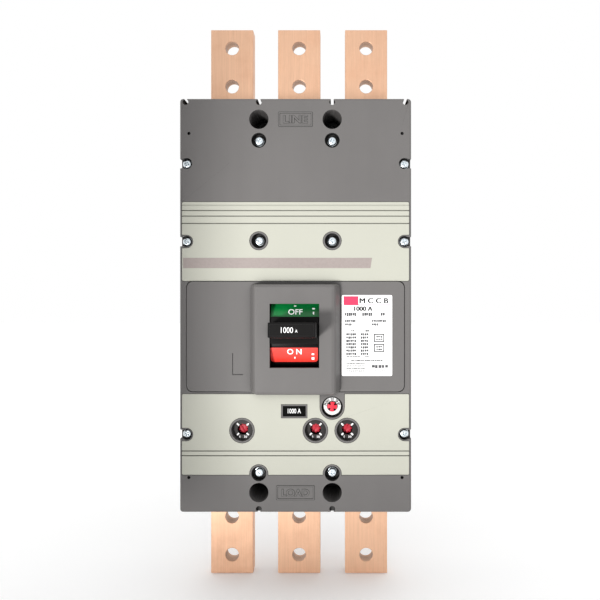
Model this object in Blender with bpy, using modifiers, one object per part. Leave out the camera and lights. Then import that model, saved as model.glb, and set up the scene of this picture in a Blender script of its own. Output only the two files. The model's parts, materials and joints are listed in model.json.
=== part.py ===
"""Three-pole molded case breaker for panel mounting: case, covers, terminals and switching mechanism.

The origin is the centre of the flat back of the case, at half its height. The front faces -Y, +Z is up
and the line terminals are at the top. A depth below is a distance out from the back, so it is -Y.
"""

import math

import bmesh
import bpy
from mathutils import Matrix, Vector

# Clearances
GAP = 0.0003
PIN_PLAY = 0.0004
OVERSHOOT = 0.002

# Case
POLE_PITCH = 0.070
SIDE_MARGIN = 0.0055
BODY_WIDTH = 3 * POLE_PITCH + 2 * SIDE_MARGIN
BODY_HEIGHT = 0.395
BASE_DEPTH = 0.058
COVER_FACE = 0.105
CORNER_RADIUS = 0.003
FACE_EDGE = 0.0022
BASE_FLOOR = 0.006
POLE_WALL = 0.004
BASE_SIDE_WALL = 0.0075
COVER_WALL = 0.0035
END_BLOCK = 0.0495
END_POCKET_WIDTH = 0.042
END_WALL = 0.004
VENT_WIDTH = 0.026
VENT_HEIGHT = 0.003
VENT_PITCH = 0.0075
VENT_COUNT = 4

# Terminals
BAR_WIDTH = 0.044
BAR_THICKNESS = 0.015
BAR_BACK = 0.035
LINE_OVERHANG = 0.0883
LOAD_OVERHANG = 0.0838
BAR_HOLE = 0.014
BAR_HOLE_FROM_END = 0.019
BAR_HOLE_PITCH = 0.040
CONTACT_HEIGHT = 0.018
CONTACT_WIDTH = 0.018
CONTACT_THICKNESS = 0.003

# Front layout, from the middle of the case
MID_TOP = 0.0233
MID_BOTTOM = -0.0844
TOP_BAND = 0.0988
BOTTOM_BAND = 0.0359
TRIM_INSET = 0.0022
TRIM_THICKNESS = 0.002
TRIM_GROOVE = 0.0009
TRIM_GROOVE_DEPTH = 0.0015
TRIM_FAINT_DEPTH = 0.0005
FAINT_GROOVE = 0.0032
UPPER_GROOVES = (0.0082, 0.0135, 0.0205)
LOWER_GROOVES = (0.0183, 0.0228)

# Mid panel with its boss and window
PANEL_SIDE_STRIP = 0.007
PANEL_TOP_STRIP = 0.0005
PANEL_BOTTOM_STRIP = 0.0024
PANEL_CORNER = 0.006
PANEL_PROUD = 0.0012
PANEL_LEDGE = 0.0035
PANEL_GAP = 0.0006
BOSS_BESIDE_WINDOW = 0.0145
BOSS_FLARE = 0.006
BOSS_TOP = 0.0204
BOSS_BOTTOM = -0.0831
BOSS_PROUD = 0.015
BOSS_WALL = 0.003
WINDOW_BESIDE_HANDLE = 0.002
WINDOW_HEIGHT = 0.0595
TAB_LEFT = -0.0600
TAB_WIDTH = 0.010
TAB_TOP = -0.0455
TAB_HEIGHT = 0.0205
TAB_GROOVE = 0.0007

# Labels and the rating window
LABEL_WIDTH = 0.048
LABEL_HEIGHT = 0.077
LABEL_TOP = 0.010
LABEL_FROM_BOSS = 0.0006
LABEL_THICKNESS = 0.0003
RATING_WIDTH = 0.022
RATING_HEIGHT = 0.010
RATING_RIM = 0.0013
RATING_X = -0.0012
RATING_DROP = 0.0165
RATING_Z = MID_BOTTOM - RATING_DROP
RATING_RECESS = 0.0022
RATING_PLATE_THICKNESS = 0.0008

# Screws
SCREW_HEAD = 0.0088
SCREW_HEAD_HEIGHT = 0.0065
SCREW_SHANK = 0.005
SCREW_HOLE = SCREW_SHANK + 2 * PIN_PLAY
SCREW_END_DEPTH = 0.040
SCREW_SEAT_BELOW_FACE = 0.009
WELL_CLEARANCE = 0.0055
CENTRE_WELL = SCREW_HEAD + WELL_CLEARANCE
WELL_RIM_GROWTH = 0.0032
CENTRE_WELL_RIM = CENTRE_WELL + WELL_RIM_GROWTH
SIDE_WELL_CLEARANCE = 0.0018
SIDE_WELL = SCREW_HEAD + SIDE_WELL_CLEARANCE
SIDE_RIM_GROWTH = 0.0015
SIDE_WELL_RIM = SIDE_WELL + SIDE_RIM_GROWTH
NOTCH_CLEARANCE = 0.0002
SIDE_NOTCH = SCREW_HEAD + NOTCH_CLEARANCE
SIDE_SCREW_INSET = 0.0065
CENTRE_SCREW_TOP_FROM_END = 0.0399
CENTRE_SCREW_MID = 0.0617
CENTRE_SCREW_LOW_FROM_END = 0.0370
SIDE_SCREW_TOP_FROM_END = 0.0621
SIDE_SCREW_MID = 0.0610
SIDE_SCREW_LOW_FROM_END = 0.0744
PILLAR_WALLS = 0.0047
PILLAR = CENTRE_WELL + PILLAR_WALLS
BOSS_WALLS = 0.0082
BASE_BOSS = SCREW_HOLE + BOSS_WALLS

# Mounting holes, barrier slots and pin holes
MOUNT_ACCESS = 0.0185
MOUNT_HOLE = 0.011
MOUNT_TOP_FROM_END = 0.0199
MOUNT_LOW_FROM_END = 0.0190
SLOT_NECK = 0.0028
SLOT_ROUND = 0.0055
SLOT_DEPTH = 0.0062
LOAD_SLOT_SUNK = 0.0045
PIN_HOLE = 0.003
PIN_HOLE_INSET = 0.0088
PIN_HOLE_FROM_END = 0.0334

# Handle and its yoke
PIVOT_BELOW_FACE = 0.045
HANDLE_PIVOT_DEPTH = COVER_FACE - PIVOT_BELOW_FACE
HANDLE_PIVOT_Z = -0.02775
HANDLE_REST = math.radians(4.8)
HANDLE_ON = math.radians(12.0)
HANDLE_REACH = 0.095
HANDLE_WIDTH = 0.042
HANDLE_TIP = 0.0132
HANDLE_ROOT = 0.0146
HANDLE_EDGE = 0.0009
WINDOW_WIDTH = HANDLE_WIDTH + 2 * WINDOW_BESIDE_HANDLE
BOSS_WIDTH = WINDOW_WIDTH + 2 * BOSS_BESIDE_WINDOW
SKIRT_SIDE_PLAY = 0.0016
SKIRT_WIDTH = WINDOW_WIDTH - SKIRT_SIDE_PLAY
SKIRT_HEIGHT = 0.025
SKIRT_THICKNESS = 0.002
SKIRT_OVER_SHUTTER = 0.0006
NECK_SHOULDERS = 0.012
NECK_WIDTH = HANDLE_WIDTH - NECK_SHOULDERS
NECK_HEIGHT = 0.010
SHUTTER_RADIUS = 0.0567
SHUTTER_THICKNESS = 0.0018
SHUTTER_LAP = 0.003
SHUTTER_WIDTH = WINDOW_WIDTH + SHUTTER_LAP
SHUTTER_HALF_ANGLE = math.radians(50)
YOKE_REACH = 0.050
YOKE_STEEL = 0.0025
YOKE_WIDTH = 0.040
YOKE_EAR = 0.008
PIVOT_STUB = 0.008

# Crossbar and contact arms, closed
CROSSBAR_RISE = 0.001
CROSSBAR_DEPTH = BAR_BACK + CROSSBAR_RISE
CROSSBAR_Z = -0.005
CROSSBAR_RADIUS = 0.013
CROSSBAR_SEAT = 0.004
CROSSBAR_SIDE_PLAY = 0.003
ARM_WIDTH = 0.014
ARM_PER_HANDLE = 0.5946
ARM_THICKNESS = 0.0097
TOGGLE_ON_ARM = (0.011, 0.026)

# Toggle, cradle, frame plates and latch
FRAME_STEEL = 0.0025
FRAME_PLAY = 0.003
FRAME_INSIDE = SHUTTER_WIDTH + FRAME_PLAY
CRADLE_PIVOT = (HANDLE_PIVOT_DEPTH + 0.024, 0.010)
CRADLE_STEEL = 0.0036
CRADLE_PIN = 0.0052
TOGGLE_ANCHOR = (HANDLE_PIVOT_DEPTH + 0.030, -0.003)
TOGGLE_SLACK = 0.0002
LINK_STEEL = 0.003
UPPER_LINK_WIDTH = 0.009
LOWER_LINK_WIDTH = 0.0125
UPPER_LINK_INSIDE = 0.006
LOWER_LINK_INSIDE = 0.016
LINK_PIN = 0.005
TOGGLE_EYE_PLAY = 0.0016
SPRING_DIAMETER = 0.0054
SPRING_X = 0.0142
LATCH_WIDTH = 0.020

# Trip unit, trip bar, button and dials
CASE_BELOW_FACE = 0.015
CASE_FRONT = COVER_FACE - CASE_BELOW_FACE
CASE_DROP = 0.0056
CASE_TOP = MID_BOTTOM - CASE_DROP
CASE_END_PLAY = 0.002
CASE_BOTTOM = -BODY_HEIGHT / 2 + END_BLOCK + CASE_END_PLAY
LATCH_PIVOT = (HANDLE_PIVOT_DEPTH + 0.002, CASE_TOP + 0.0065)
CASE_WALL = 0.0025
CASE_SIDE_PLAY = 0.011
TRIP_BAR_BEHIND_CASE = 0.012
TRIP_BAR_DEPTH = CASE_FRONT - TRIP_BAR_BEHIND_CASE
TRIP_BAR_DROP = 0.018
TRIP_BAR_Z = CASE_TOP - TRIP_BAR_DROP
TRIP_BAR_DIAMETER = 0.007
TRIP_LUG = 0.0024
BUTTON_X = 0.035
BUTTON_DROP = 0.0126
BUTTON_Z = MID_BOTTOM - BUTTON_DROP
BUTTON_DIAMETER = 0.0094
BUTTON_HEAD = 0.007
BUTTON_BELOW_FACE = 0.0025
BUTTON_ROD = 0.005
BUTTON_PLAY = 0.0008
COLLAR_GROWTH = 0.0076
COLLAR_DIAMETER = BUTTON_DIAMETER + COLLAR_GROWTH
COLLAR_BELOW_FACE = 0.0045
COLLAR_CLEARANCE = 0.0034
BUTTON_WELL = COLLAR_DIAMETER + COLLAR_CLEARANCE
BUTTON_WELL_FLOOR = 0.009
LOBE_WALLS = 0.003
BUTTON_LOBE = BUTTON_WELL + LOBE_WALLS
DIAL_XS = (-0.051, 0.019, 0.0494)
DIAL_DROP = 0.0349
DIAL_Z = MID_BOTTOM - DIAL_DROP
DIAL_DIAMETER = 0.0188
DIAL_THICKNESS = 0.0018
DIAL_KNOB = 0.0090
DIAL_KNOB_HEIGHT = 0.0024
DIAL_CLEARANCE = 0.0016
DIAL_WELL = DIAL_DIAMETER + DIAL_CLEARANCE
DIAL_RIM_GROWTH = 0.0034
DIAL_WELL_RIM = DIAL_WELL + DIAL_RIM_GROWTH
DIAL_RING_BELOW_FACE = 0.0055
DIAL_RING_THICKNESS = 0.001
DIAL_KNOB_CLEARANCE = 0.0014
DIAL_RING_BORE = DIAL_KNOB + DIAL_KNOB_CLEARANCE
DIAL_SHAFT = 0.006
DIAL_SHAFT_LENGTH = 0.011
DIAL_SLOT = 0.0011

# Conductors between the arms and the load bars, and the arc chutes
HEATER_WIDTH = 0.018
HEATER_STEEL = 0.003
HEATER_RISE = 0.028
HEATER_TOP = CASE_TOP + HEATER_RISE
BLADE_RISE = 0.007
BLADE_Z = TRIP_BAR_Z + BLADE_RISE
BLADE_THICKNESS = 0.0012
BLADE_BEHIND_BAR = 0.008
BLADE_END_DEPTH = TRIP_BAR_DEPTH - BLADE_BEHIND_BAR
SHUNT_DIAMETER = 0.007
CHUTE_WIDTH = 0.050
CHUTE_SIDE = 0.0015
CHUTE_END_PLAY = 0.008
CHUTE_TOP = BODY_HEIGHT / 2 - END_BLOCK - CHUTE_END_PLAY
CHUTE_HEIGHT = 0.052
CHUTE_BOTTOM = CHUTE_TOP - CHUTE_HEIGHT
CHUTE_BACK = BAR_BACK + BAR_THICKNESS + 2 * CONTACT_THICKNESS
CHUTE_FRONT_PLAY = 0.0035
CHUTE_FRONT = COVER_FACE - COVER_WALL - CHUTE_FRONT_PLAY
CHUTE_PLATES = 7
CHUTE_PLATE_STEEL = 0.0015
CHUTE_NOTCH_WIDTH = 0.018
CHUTE_NOTCH_HEIGHT = 0.030

SIDES_WIDE = 24
SIDES_NARROW = 12
ARC_STEPS = 5

HALF_WIDTH = BODY_WIDTH / 2
HALF_HEIGHT = BODY_HEIGHT / 2
POLES = {"left": -POLE_PITCH, "middle": 0.0, "right": POLE_PITCH}
COVER_BACK = BASE_DEPTH + GAP
COVER_INSIDE = COVER_FACE - COVER_WALL
BAR_FRONT = BAR_BACK + BAR_THICKNESS
LINE_BAR_PAST_CHUTE = 0.018
LINE_BAR_INNER_END = CHUTE_BOTTOM - LINE_BAR_PAST_CHUTE
LOAD_BAR_PAST_CASE = 0.010
LOAD_BAR_INNER_END = CASE_TOP - LOAD_BAR_PAST_CASE
TRIM_FLOOR = COVER_FACE - TRIM_THICKNESS - GAP
PANEL_FACE = COVER_FACE + PANEL_PROUD
BOSS_FACE = COVER_FACE + BOSS_PROUD
SCREW_SEAT = COVER_FACE - SCREW_SEAT_BELOW_FACE
HANDLE_PIVOT = (HANDLE_PIVOT_DEPTH, HANDLE_PIVOT_Z)
CROSSBAR_AXIS = (CROSSBAR_DEPTH, CROSSBAR_Z)
TRIP_BAR_AXIS = (TRIP_BAR_DEPTH, TRIP_BAR_Z)
ARM_REST = HANDLE_ON * ARM_PER_HANDLE
LOBE_HALF = BUTTON_LOBE / 2

CENTRE_SCREWS = {
    "upper": HALF_HEIGHT - CENTRE_SCREW_TOP_FROM_END,
    "mid": CENTRE_SCREW_MID,
    "lower": -HALF_HEIGHT + CENTRE_SCREW_LOW_FROM_END,
}
SIDE_SCREWS = {
    "upper": HALF_HEIGHT - SIDE_SCREW_TOP_FROM_END,
    "mid": SIDE_SCREW_MID,
    "lower": -HALF_HEIGHT + SIDE_SCREW_LOW_FROM_END,
}
SIDES = {"left": -1, "right": 1}
LINE_SLOTS = [(x * POLE_PITCH, 1) for x in (-1.5, -0.5, 0.5, 1.5)]
LOAD_SLOTS = [(x * POLE_PITCH, -1) for x in (-0.5, 0.5)]
SIDE_SCREW_X = HALF_WIDTH - SIDE_SCREW_INSET
MOUNT_HOLES_Z = (HALF_HEIGHT - MOUNT_TOP_FROM_END, -HALF_HEIGHT + MOUNT_LOW_FROM_END)

PARTS = None
CUTTERS = None


def clear_scene():
    for obj in list(bpy.data.objects):
        bpy.data.objects.remove(obj, do_unlink=True)


def new_collection(name):
    collection = bpy.data.collections.new(name)
    bpy.context.scene.collection.children.link(collection)
    return collection


# Materials


def material(name, colour, roughness, metallic=0.0):
    found = bpy.data.materials.new(name)
    found.use_nodes = True
    shader = found.node_tree.nodes["Principled BSDF"]
    shader.inputs["Base Color"].default_value = (*colour, 1)
    shader.inputs["Roughness"].default_value = roughness
    shader.inputs["Metallic"].default_value = metallic
    return found


def make_materials():
    return {
        "dark": material("dark_grey_moulding", (0.216, 0.209, 0.209), 0.5),
        "base": material("base_grey_moulding", (0.10, 0.097, 0.097), 0.6),
        "cream": material("cream_moulding", (0.752, 0.760, 0.658), 0.45),
        "copper": material("copper", (0.80, 0.52, 0.34), 0.35, 1.0),
        "zinc": material("zinc_plate", (0.72, 0.76, 0.80), 0.3, 1.0),
        "steel": material("mechanism_steel", (0.45, 0.45, 0.45), 0.4, 1.0),
        "black": material("black_moulding", (0.012, 0.011, 0.011), 0.35),
        "red": material("red_moulding", (0.68, 0.03, 0.05), 0.4),
        "white": material("white_moulding", (0.85, 0.85, 0.85), 0.4),
        "paper": material("label_film", (0.90, 0.90, 0.90), 0.35),
        "insulator": material("insulating_moulding", (0.30, 0.16, 0.09), 0.6),
        "braid": material("copper_braid", (0.70, 0.40, 0.24), 0.6, 1.0),
    }


# Shapes. Each takes widths as X, depths out from the back and heights as Z.


def place(name, bm):
    mesh = bpy.data.meshes.new(name)
    bmesh.ops.recalc_face_normals(bm, faces=bm.faces)
    bm.to_mesh(mesh)
    bm.free()
    obj = bpy.data.objects.new(name, mesh)
    PARTS.objects.link(obj)
    return obj


def box_mesh(xs, depths, zs):
    bm = bmesh.new()
    bmesh.ops.create_cube(bm, size=1)
    size = (xs[1] - xs[0], depths[1] - depths[0], zs[1] - zs[0])
    centre = (sum(xs) / 2, -sum(depths) / 2, sum(zs) / 2)
    bmesh.ops.scale(bm, vec=size, verts=bm.verts)
    bmesh.ops.translate(bm, vec=centre, verts=bm.verts)
    return bm


def box(name, xs, depths, zs):
    return place(name, box_mesh(xs, depths, zs))


def rounded_block(name, xs, depths, zs, corner, face_edge):
    """A block with its four long corners rounded and, where face_edge is set, its front rim too."""
    bm = box_mesh(xs, depths, zs)
    corners = [e for e in bm.edges if abs(e.verts[0].co.y - e.verts[1].co.y) > depths[1] - depths[0] - 1e-6]
    bmesh.ops.bevel(bm, geom=corners, offset=corner, segments=3, profile=0.5, affect="EDGES")
    if face_edge:
        rim = [e for e in bm.edges if all(abs(v.co.y + depths[1]) < 1e-6 for v in e.verts)]
        bmesh.ops.bevel(bm, geom=rim, offset=face_edge, segments=3, profile=0.5, affect="EDGES")
    return place(name, bm)


def rod(name, start, end, diameter, sides=SIDES_NARROW):
    """A round bar between two points (X, depth, Z)."""
    low, high = Vector((start[0], -start[1], start[2])), Vector((end[0], -end[1], end[2]))
    turn = (high - low).to_track_quat("Z", "Y").to_matrix().to_4x4()
    bm = bmesh.new()
    bmesh.ops.create_cone(
        bm,
        cap_ends=True,
        segments=sides,
        radius1=diameter / 2,
        radius2=diameter / 2,
        depth=(high - low).length,
        matrix=Matrix.Translation((low + high) / 2) @ turn,
    )
    return place(name, bm)


def peg(name, x, z, depths, diameter, sides=SIDES_NARROW):
    return rod(name, (x, depths[0], z), (x, depths[1], z), diameter, sides)


def axle(name, at, xs, diameter, sides=SIDES_NARROW):
    return rod(name, (xs[0], *at), (xs[1], *at), diameter, sides)


def outline_curve(name, points, thickness):
    data = bpy.data.curves.new(name, "CURVE")
    data.dimensions = "2D"
    data.fill_mode = "BOTH"
    data.extrude = thickness / 2
    spline = data.splines.new("POLY")
    spline.points.add(len(points) - 1)
    for point, (across, up) in zip(spline.points, points):
        point.co = (across, up, 0, 1)
    spline.use_cyclic_u = True
    return bpy.data.objects.new(name, data)


def mesh_from_curve(curve, name):
    PARTS.objects.link(curve)
    bpy.context.view_layer.update()
    graph = bpy.context.evaluated_depsgraph_get()
    mesh = bpy.data.meshes.new_from_object(curve.evaluated_get(graph))
    bm = bmesh.new()
    bm.from_mesh(mesh)
    bmesh.ops.remove_doubles(bm, verts=bm.verts, dist=1e-6)
    bmesh.ops.recalc_face_normals(bm, faces=bm.faces)
    bm.to_mesh(mesh)
    bm.free()
    mesh.transform(curve.matrix_world)
    bpy.data.objects.remove(curve, do_unlink=True)
    mesh.name = name
    obj = bpy.data.objects.new(name, mesh)
    PARTS.objects.link(obj)
    return obj


def front_plate(name, points, depths):
    """A flat plate parallel to the front. Its outline is in (X, Z)."""
    curve = outline_curve(name + "_outline", points, depths[1] - depths[0])
    curve.rotation_euler = (math.pi / 2, 0, 0)
    curve.location = (0, -sum(depths) / 2, 0)
    return mesh_from_curve(curve, name)


def side_plate(name, points, xs):
    """A flat plate square to X. Its outline is in (depth, Z)."""
    curve = outline_curve(name + "_outline", [(-depth, z) for depth, z in points], xs[1] - xs[0])
    curve.rotation_euler = (math.pi / 2, 0, math.pi / 2)
    curve.location = (sum(xs) / 2, 0, 0)
    return mesh_from_curve(curve, name)


def arc(centre, radius, start, end, steps):
    return [
        (centre[0] + radius * math.cos(a), centre[1] + radius * math.sin(a))
        for a in (start + (end - start) * i / steps for i in range(steps + 1))
    ]


def rounded_rectangle(xs, zs, radius):
    quarter = math.pi / 2
    corners = ((xs[1], zs[1]), (xs[0], zs[1]), (xs[0], zs[0]), (xs[1], zs[0]))
    points = []
    for turn, (x, z) in enumerate(corners):
        inward_x = x - math.copysign(radius, x - sum(xs) / 2)
        inward_z = z - math.copysign(radius, z - sum(zs) / 2)
        points += arc((inward_x, inward_z), radius, turn * quarter, (turn + 1) * quarter, ARC_STEPS)
    return points


def bar_outline(start, end, width):
    """The outline of a link with round ends about two points."""
    along = math.atan2(end[1] - start[1], end[0] - start[0])
    quarter = math.pi / 2
    return arc(end, width / 2, along - quarter, along + quarter, ARC_STEPS) + arc(
        start, width / 2, along + quarter, along + 3 * quarter, ARC_STEPS
    )


def turned(name, x, z, profile, steps=SIDES_NARROW):
    """A turned piece on an axis square to the front. Its profile is (radius, depth), front to back."""
    mesh = bpy.data.meshes.new(name)
    points = [(radius, 0, depth) for radius, depth in profile]
    mesh.from_pydata(points, [(i, i + 1) for i in range(len(points) - 1)], [])
    obj = bpy.data.objects.new(name, mesh)
    PARTS.objects.link(obj)
    screw = obj.modifiers.new("Turn", "SCREW")
    screw.steps = screw.render_steps = steps
    screw.use_merge_vertices = True
    screw.merge_threshold = 0.00001
    obj.rotation_euler = (math.pi / 2, 0, 0)
    obj.location = (x, 0, z)
    return obj


# Joining, cutting and finishing


def helper(obj):
    PARTS.objects.unlink(obj)
    CUTTERS.objects.link(obj)
    obj.hide_render = True
    obj.display_type = "WIRE"
    return obj


def combine(obj, others, operation):
    for other in others:
        helper(other)
        boolean = obj.modifiers.new(operation.title(), "BOOLEAN")
        boolean.operation = operation
        boolean.solver = "EXACT"
        boolean.object = other
    return obj


def cut(obj, *others):
    return combine(obj, others, "DIFFERENCE")


def add(obj, *others):
    return combine(obj, others, "UNION")


def soften(obj, width, angle=math.radians(40)):
    bevel = obj.modifiers.new("Soft edges", "BEVEL")
    bevel.width = width
    bevel.segments = 2
    bevel.limit_method = "ANGLE"
    bevel.angle_limit = angle
    return obj


def finish(obj, skin):
    """Gives a piece its material, and smooth shading on its round faces."""
    obj.data.materials.clear()
    obj.data.materials.append(skin)
    obj.data.shade_smooth()
    obj.data.set_sharp_from_angle(angle=math.radians(30))
    return obj


def rotated(point, pivot, angle):
    """A point (depth, Z) turned about a pivot, from up towards the front."""
    across, up = point[0] - pivot[0], point[1] - pivot[1]
    return (
        pivot[0] + across * math.cos(angle) + up * math.sin(angle),
        pivot[1] - across * math.sin(angle) + up * math.cos(angle),
    )


def turned_outline(points, pivot, angle):
    return [rotated(point, pivot, angle) for point in points]


def put_origin(obj, x, at):
    """Moves the origin of a piece, and not its shape, to X and a point (depth, Z)."""
    origin = Vector((x, -at[0], at[1]))
    obj.data.transform(Matrix.Translation(-origin) @ obj.matrix_basis)
    obj.matrix_basis = Matrix.Translation(origin)
    return obj


# The case


def barrier_slots(name, depths, places):
    """Keyhole slots for the barriers between the poles, each given as (X, end)."""
    tools = []
    for number, (x, end) in enumerate(places):
        centre = end * (HALF_HEIGHT - SLOT_DEPTH + SLOT_ROUND / 2)
        outside = end * (HALF_HEIGHT + OVERSHOOT)
        neck = (min(centre, outside), max(centre, outside))
        tools.append(peg(f"{name}_round_{number}", x, centre, depths, SLOT_ROUND))
        tools.append(box(f"{name}_neck_{number}", (x - SLOT_NECK / 2, x + SLOT_NECK / 2), depths, neck))
    return tools


def screw_places():
    centre = [(side * POLE_PITCH / 2, z) for side in SIDES.values() for z in CENTRE_SCREWS.values()]
    edge = [(side * SIDE_SCREW_X, z) for side in SIDES.values() for z in SIDE_SCREWS.values()]
    return centre, edge


def make_base(skins):
    inner = HALF_HEIGHT - END_BLOCK
    through = (-OVERSHOOT, BASE_DEPTH + OVERSHOOT)
    base = rounded_block(
        "base", (-HALF_WIDTH, HALF_WIDTH), (0, BASE_DEPTH), (-HALF_HEIGHT, HALF_HEIGHT), CORNER_RADIUS, 0
    )
    for name, x in POLES.items():
        half = (POLE_PITCH - POLE_WALL) / 2
        inside = HALF_WIDTH - BASE_SIDE_WALL
        bay = (max(x - half, -inside), min(x + half, inside))
        cut(base, box(f"bay_{name}", bay, (BASE_FLOOR, BASE_DEPTH + OVERSHOOT), (-inner, inner)))
        seat = (x - BAR_WIDTH / 2 - GAP, x + BAR_WIDTH / 2 + GAP)
        seat_depths = (BAR_BACK - GAP, BASE_DEPTH + OVERSHOOT)
        cut(base, box(f"line_seat_{name}", seat, seat_depths, (inner - OVERSHOOT, HALF_HEIGHT + OVERSHOOT)))
        cut(base, box(f"load_seat_{name}", seat, seat_depths, (-HALF_HEIGHT - OVERSHOOT, OVERSHOOT - inner)))
    centre, edge = screw_places()
    for number, (x, z) in enumerate(centre):
        add(base, peg(f"base_boss_{number}", x, z, (OVERSHOOT, BASE_DEPTH), BASE_BOSS))
    for number, (x, z) in enumerate(edge):
        outer = math.copysign(HALF_WIDTH - BASE_SIDE_WALL / 2, x)
        inner_x = x - math.copysign(BASE_BOSS / 2, x)
        ends = (min(outer, inner_x), max(outer, inner_x))
        pad = (z - BASE_BOSS / 2, z + BASE_BOSS / 2)
        add(base, box(f"base_pad_{number}", ends, (OVERSHOOT, BASE_DEPTH), pad))
    for number, (x, z) in enumerate(centre + edge):
        thread = (SCREW_END_DEPTH - OVERSHOOT, BASE_DEPTH + OVERSHOOT)
        cut(base, peg(f"base_thread_{number}", x, z, thread, SCREW_HOLE))
    clearance = CROSSBAR_RADIUS + CROSSBAR_SIDE_PLAY / 2
    cut(
        base,
        box(
            "crossbar_way",
            (-POLE_PITCH, POLE_PITCH),
            (CROSSBAR_DEPTH - clearance, BASE_DEPTH + OVERSHOOT),
            (CROSSBAR_Z - clearance, CROSSBAR_Z + clearance),
        ),
    )
    for side in SIDES.values():
        for z in MOUNT_HOLES_Z:
            cut(base, peg(f"mount_{side}_{z:.3f}", side * POLE_PITCH / 2, z, through, MOUNT_HOLE))
    cut(base, *barrier_slots("base_slot", through, LINE_SLOTS))
    return finish(base, skins["base"])


def trim_block(name, zs, depths, grow):
    """One trim panel with room left round the wells that pass through it; grow widens it into its recess."""
    half = HALF_WIDTH - TRIM_INSET + grow
    low, high = zs[0] - grow, zs[1] + grow
    trim = front_plate(name, rounded_rectangle((-half, half), (low, high), 2 * FACE_EDGE / 3), depths)
    cutting = (depths[0] - OVERSHOOT, depths[1] + OVERSHOOT)
    centre, edge = screw_places()
    for number, (x, z) in enumerate(centre):
        if low - CENTRE_WELL_RIM < z < high + CENTRE_WELL_RIM:
            diameter = CENTRE_WELL_RIM + 2 * GAP - 2 * grow
            cut(trim, peg(f"{name}_well_{number}", x, z, cutting, diameter, SIDES_WIDE))
    for number, (x, z) in enumerate(edge):
        if low < z < high:
            width = SIDE_WELL_RIM + 2 * GAP - 2 * grow
            outer = math.copysign(HALF_WIDTH + OVERSHOOT, x)
            cut(trim, peg(f"{name}_edge_well_{number}", x, z, cutting, width, SIDES_WIDE))
            ends = (min(x, outer), max(x, outer))
            cut(trim, box(f"{name}_edge_way_{number}", ends, cutting, (z - width / 2, z + width / 2)))
    return trim


def cut_lower_wells(trim, name, depths, grow):
    """Leaves room in the lower trim for the dials, the rating window and the lobe of the trip button."""
    cutting = (depths[0] - OVERSHOOT, depths[1] + OVERSHOOT)
    for number, x in enumerate(DIAL_XS):
        room = DIAL_WELL_RIM + 2 * (GAP - grow)
        cut(trim, peg(f"{name}_dial_{number}", x, DIAL_Z, cutting, room, SIDES_WIDE))
    lobe = LOBE_HALF + GAP - grow
    cut(trim, peg(f"{name}_lobe", BUTTON_X, BUTTON_Z, cutting, 2 * lobe, SIDES_WIDE))
    neck = (BUTTON_Z, MID_BOTTOM + OVERSHOOT)
    cut(trim, box(f"{name}_lobe_neck", (BUTTON_X - lobe, BUTTON_X + lobe), cutting, neck))
    width = RATING_WIDTH / 2 + RATING_RIM + GAP - grow
    height = RATING_HEIGHT / 2 + RATING_RIM + GAP - grow
    rim = ((RATING_X - width, RATING_X + width), (RATING_Z - height, RATING_Z + height))
    cut(trim, box(f"{name}_rating", rim[0], cutting, rim[1]))
    return trim


def upper_trim_heights():
    return (MID_TOP, HALF_HEIGHT - TOP_BAND)


def lower_trim_heights():
    return (-HALF_HEIGHT + BOTTOM_BAND, MID_BOTTOM)


def groove(name, z, deep=TRIM_GROOVE_DEPTH):
    depths = (COVER_FACE - deep, COVER_FACE + OVERSHOOT)
    return box(name, (-HALF_WIDTH, HALF_WIDTH), depths, (z - TRIM_GROOVE / 2, z + TRIM_GROOVE / 2))


def make_trims(skins):
    depths = (TRIM_FLOOR + GAP, COVER_FACE)
    zs = upper_trim_heights()
    upper = trim_block("upper_trim", zs, depths, 0)
    cut(upper, groove("faint_groove", zs[1] - FAINT_GROOVE, TRIM_FAINT_DEPTH))
    for number, below in enumerate(UPPER_GROOVES):
        cut(upper, groove(f"upper_groove_{number}", zs[1] - below))
    zs = lower_trim_heights()
    lower = cut_lower_wells(trim_block("lower_trim", zs, depths, 0), "lower_trim", depths, 0)
    for number, above in enumerate(LOWER_GROOVES):
        cut(lower, groove(f"lower_groove_{number}", zs[0] + above))
    finish(upper, skins["cream"])
    finish(lower, skins["cream"])


def panel_outline(grow):
    half = HALF_WIDTH - PANEL_SIDE_STRIP + grow
    zs = (MID_BOTTOM + PANEL_BOTTOM_STRIP - grow, MID_TOP - PANEL_TOP_STRIP + grow)
    return rounded_rectangle((-half, half), zs, PANEL_CORNER)


def boss_block(name, depths, inset):
    """A block that flares towards its back, from the boss's outline less an inset."""
    bm = box_mesh(
        (-BOSS_WIDTH / 2 + inset, BOSS_WIDTH / 2 - inset), depths, (BOSS_BOTTOM + inset, BOSS_TOP - inset)
    )
    for vert in bm.verts:
        if -vert.co.y < sum(depths) / 2:
            vert.co.x += math.copysign(BOSS_FLARE, vert.co.x)
    return place(name, bm)


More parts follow.
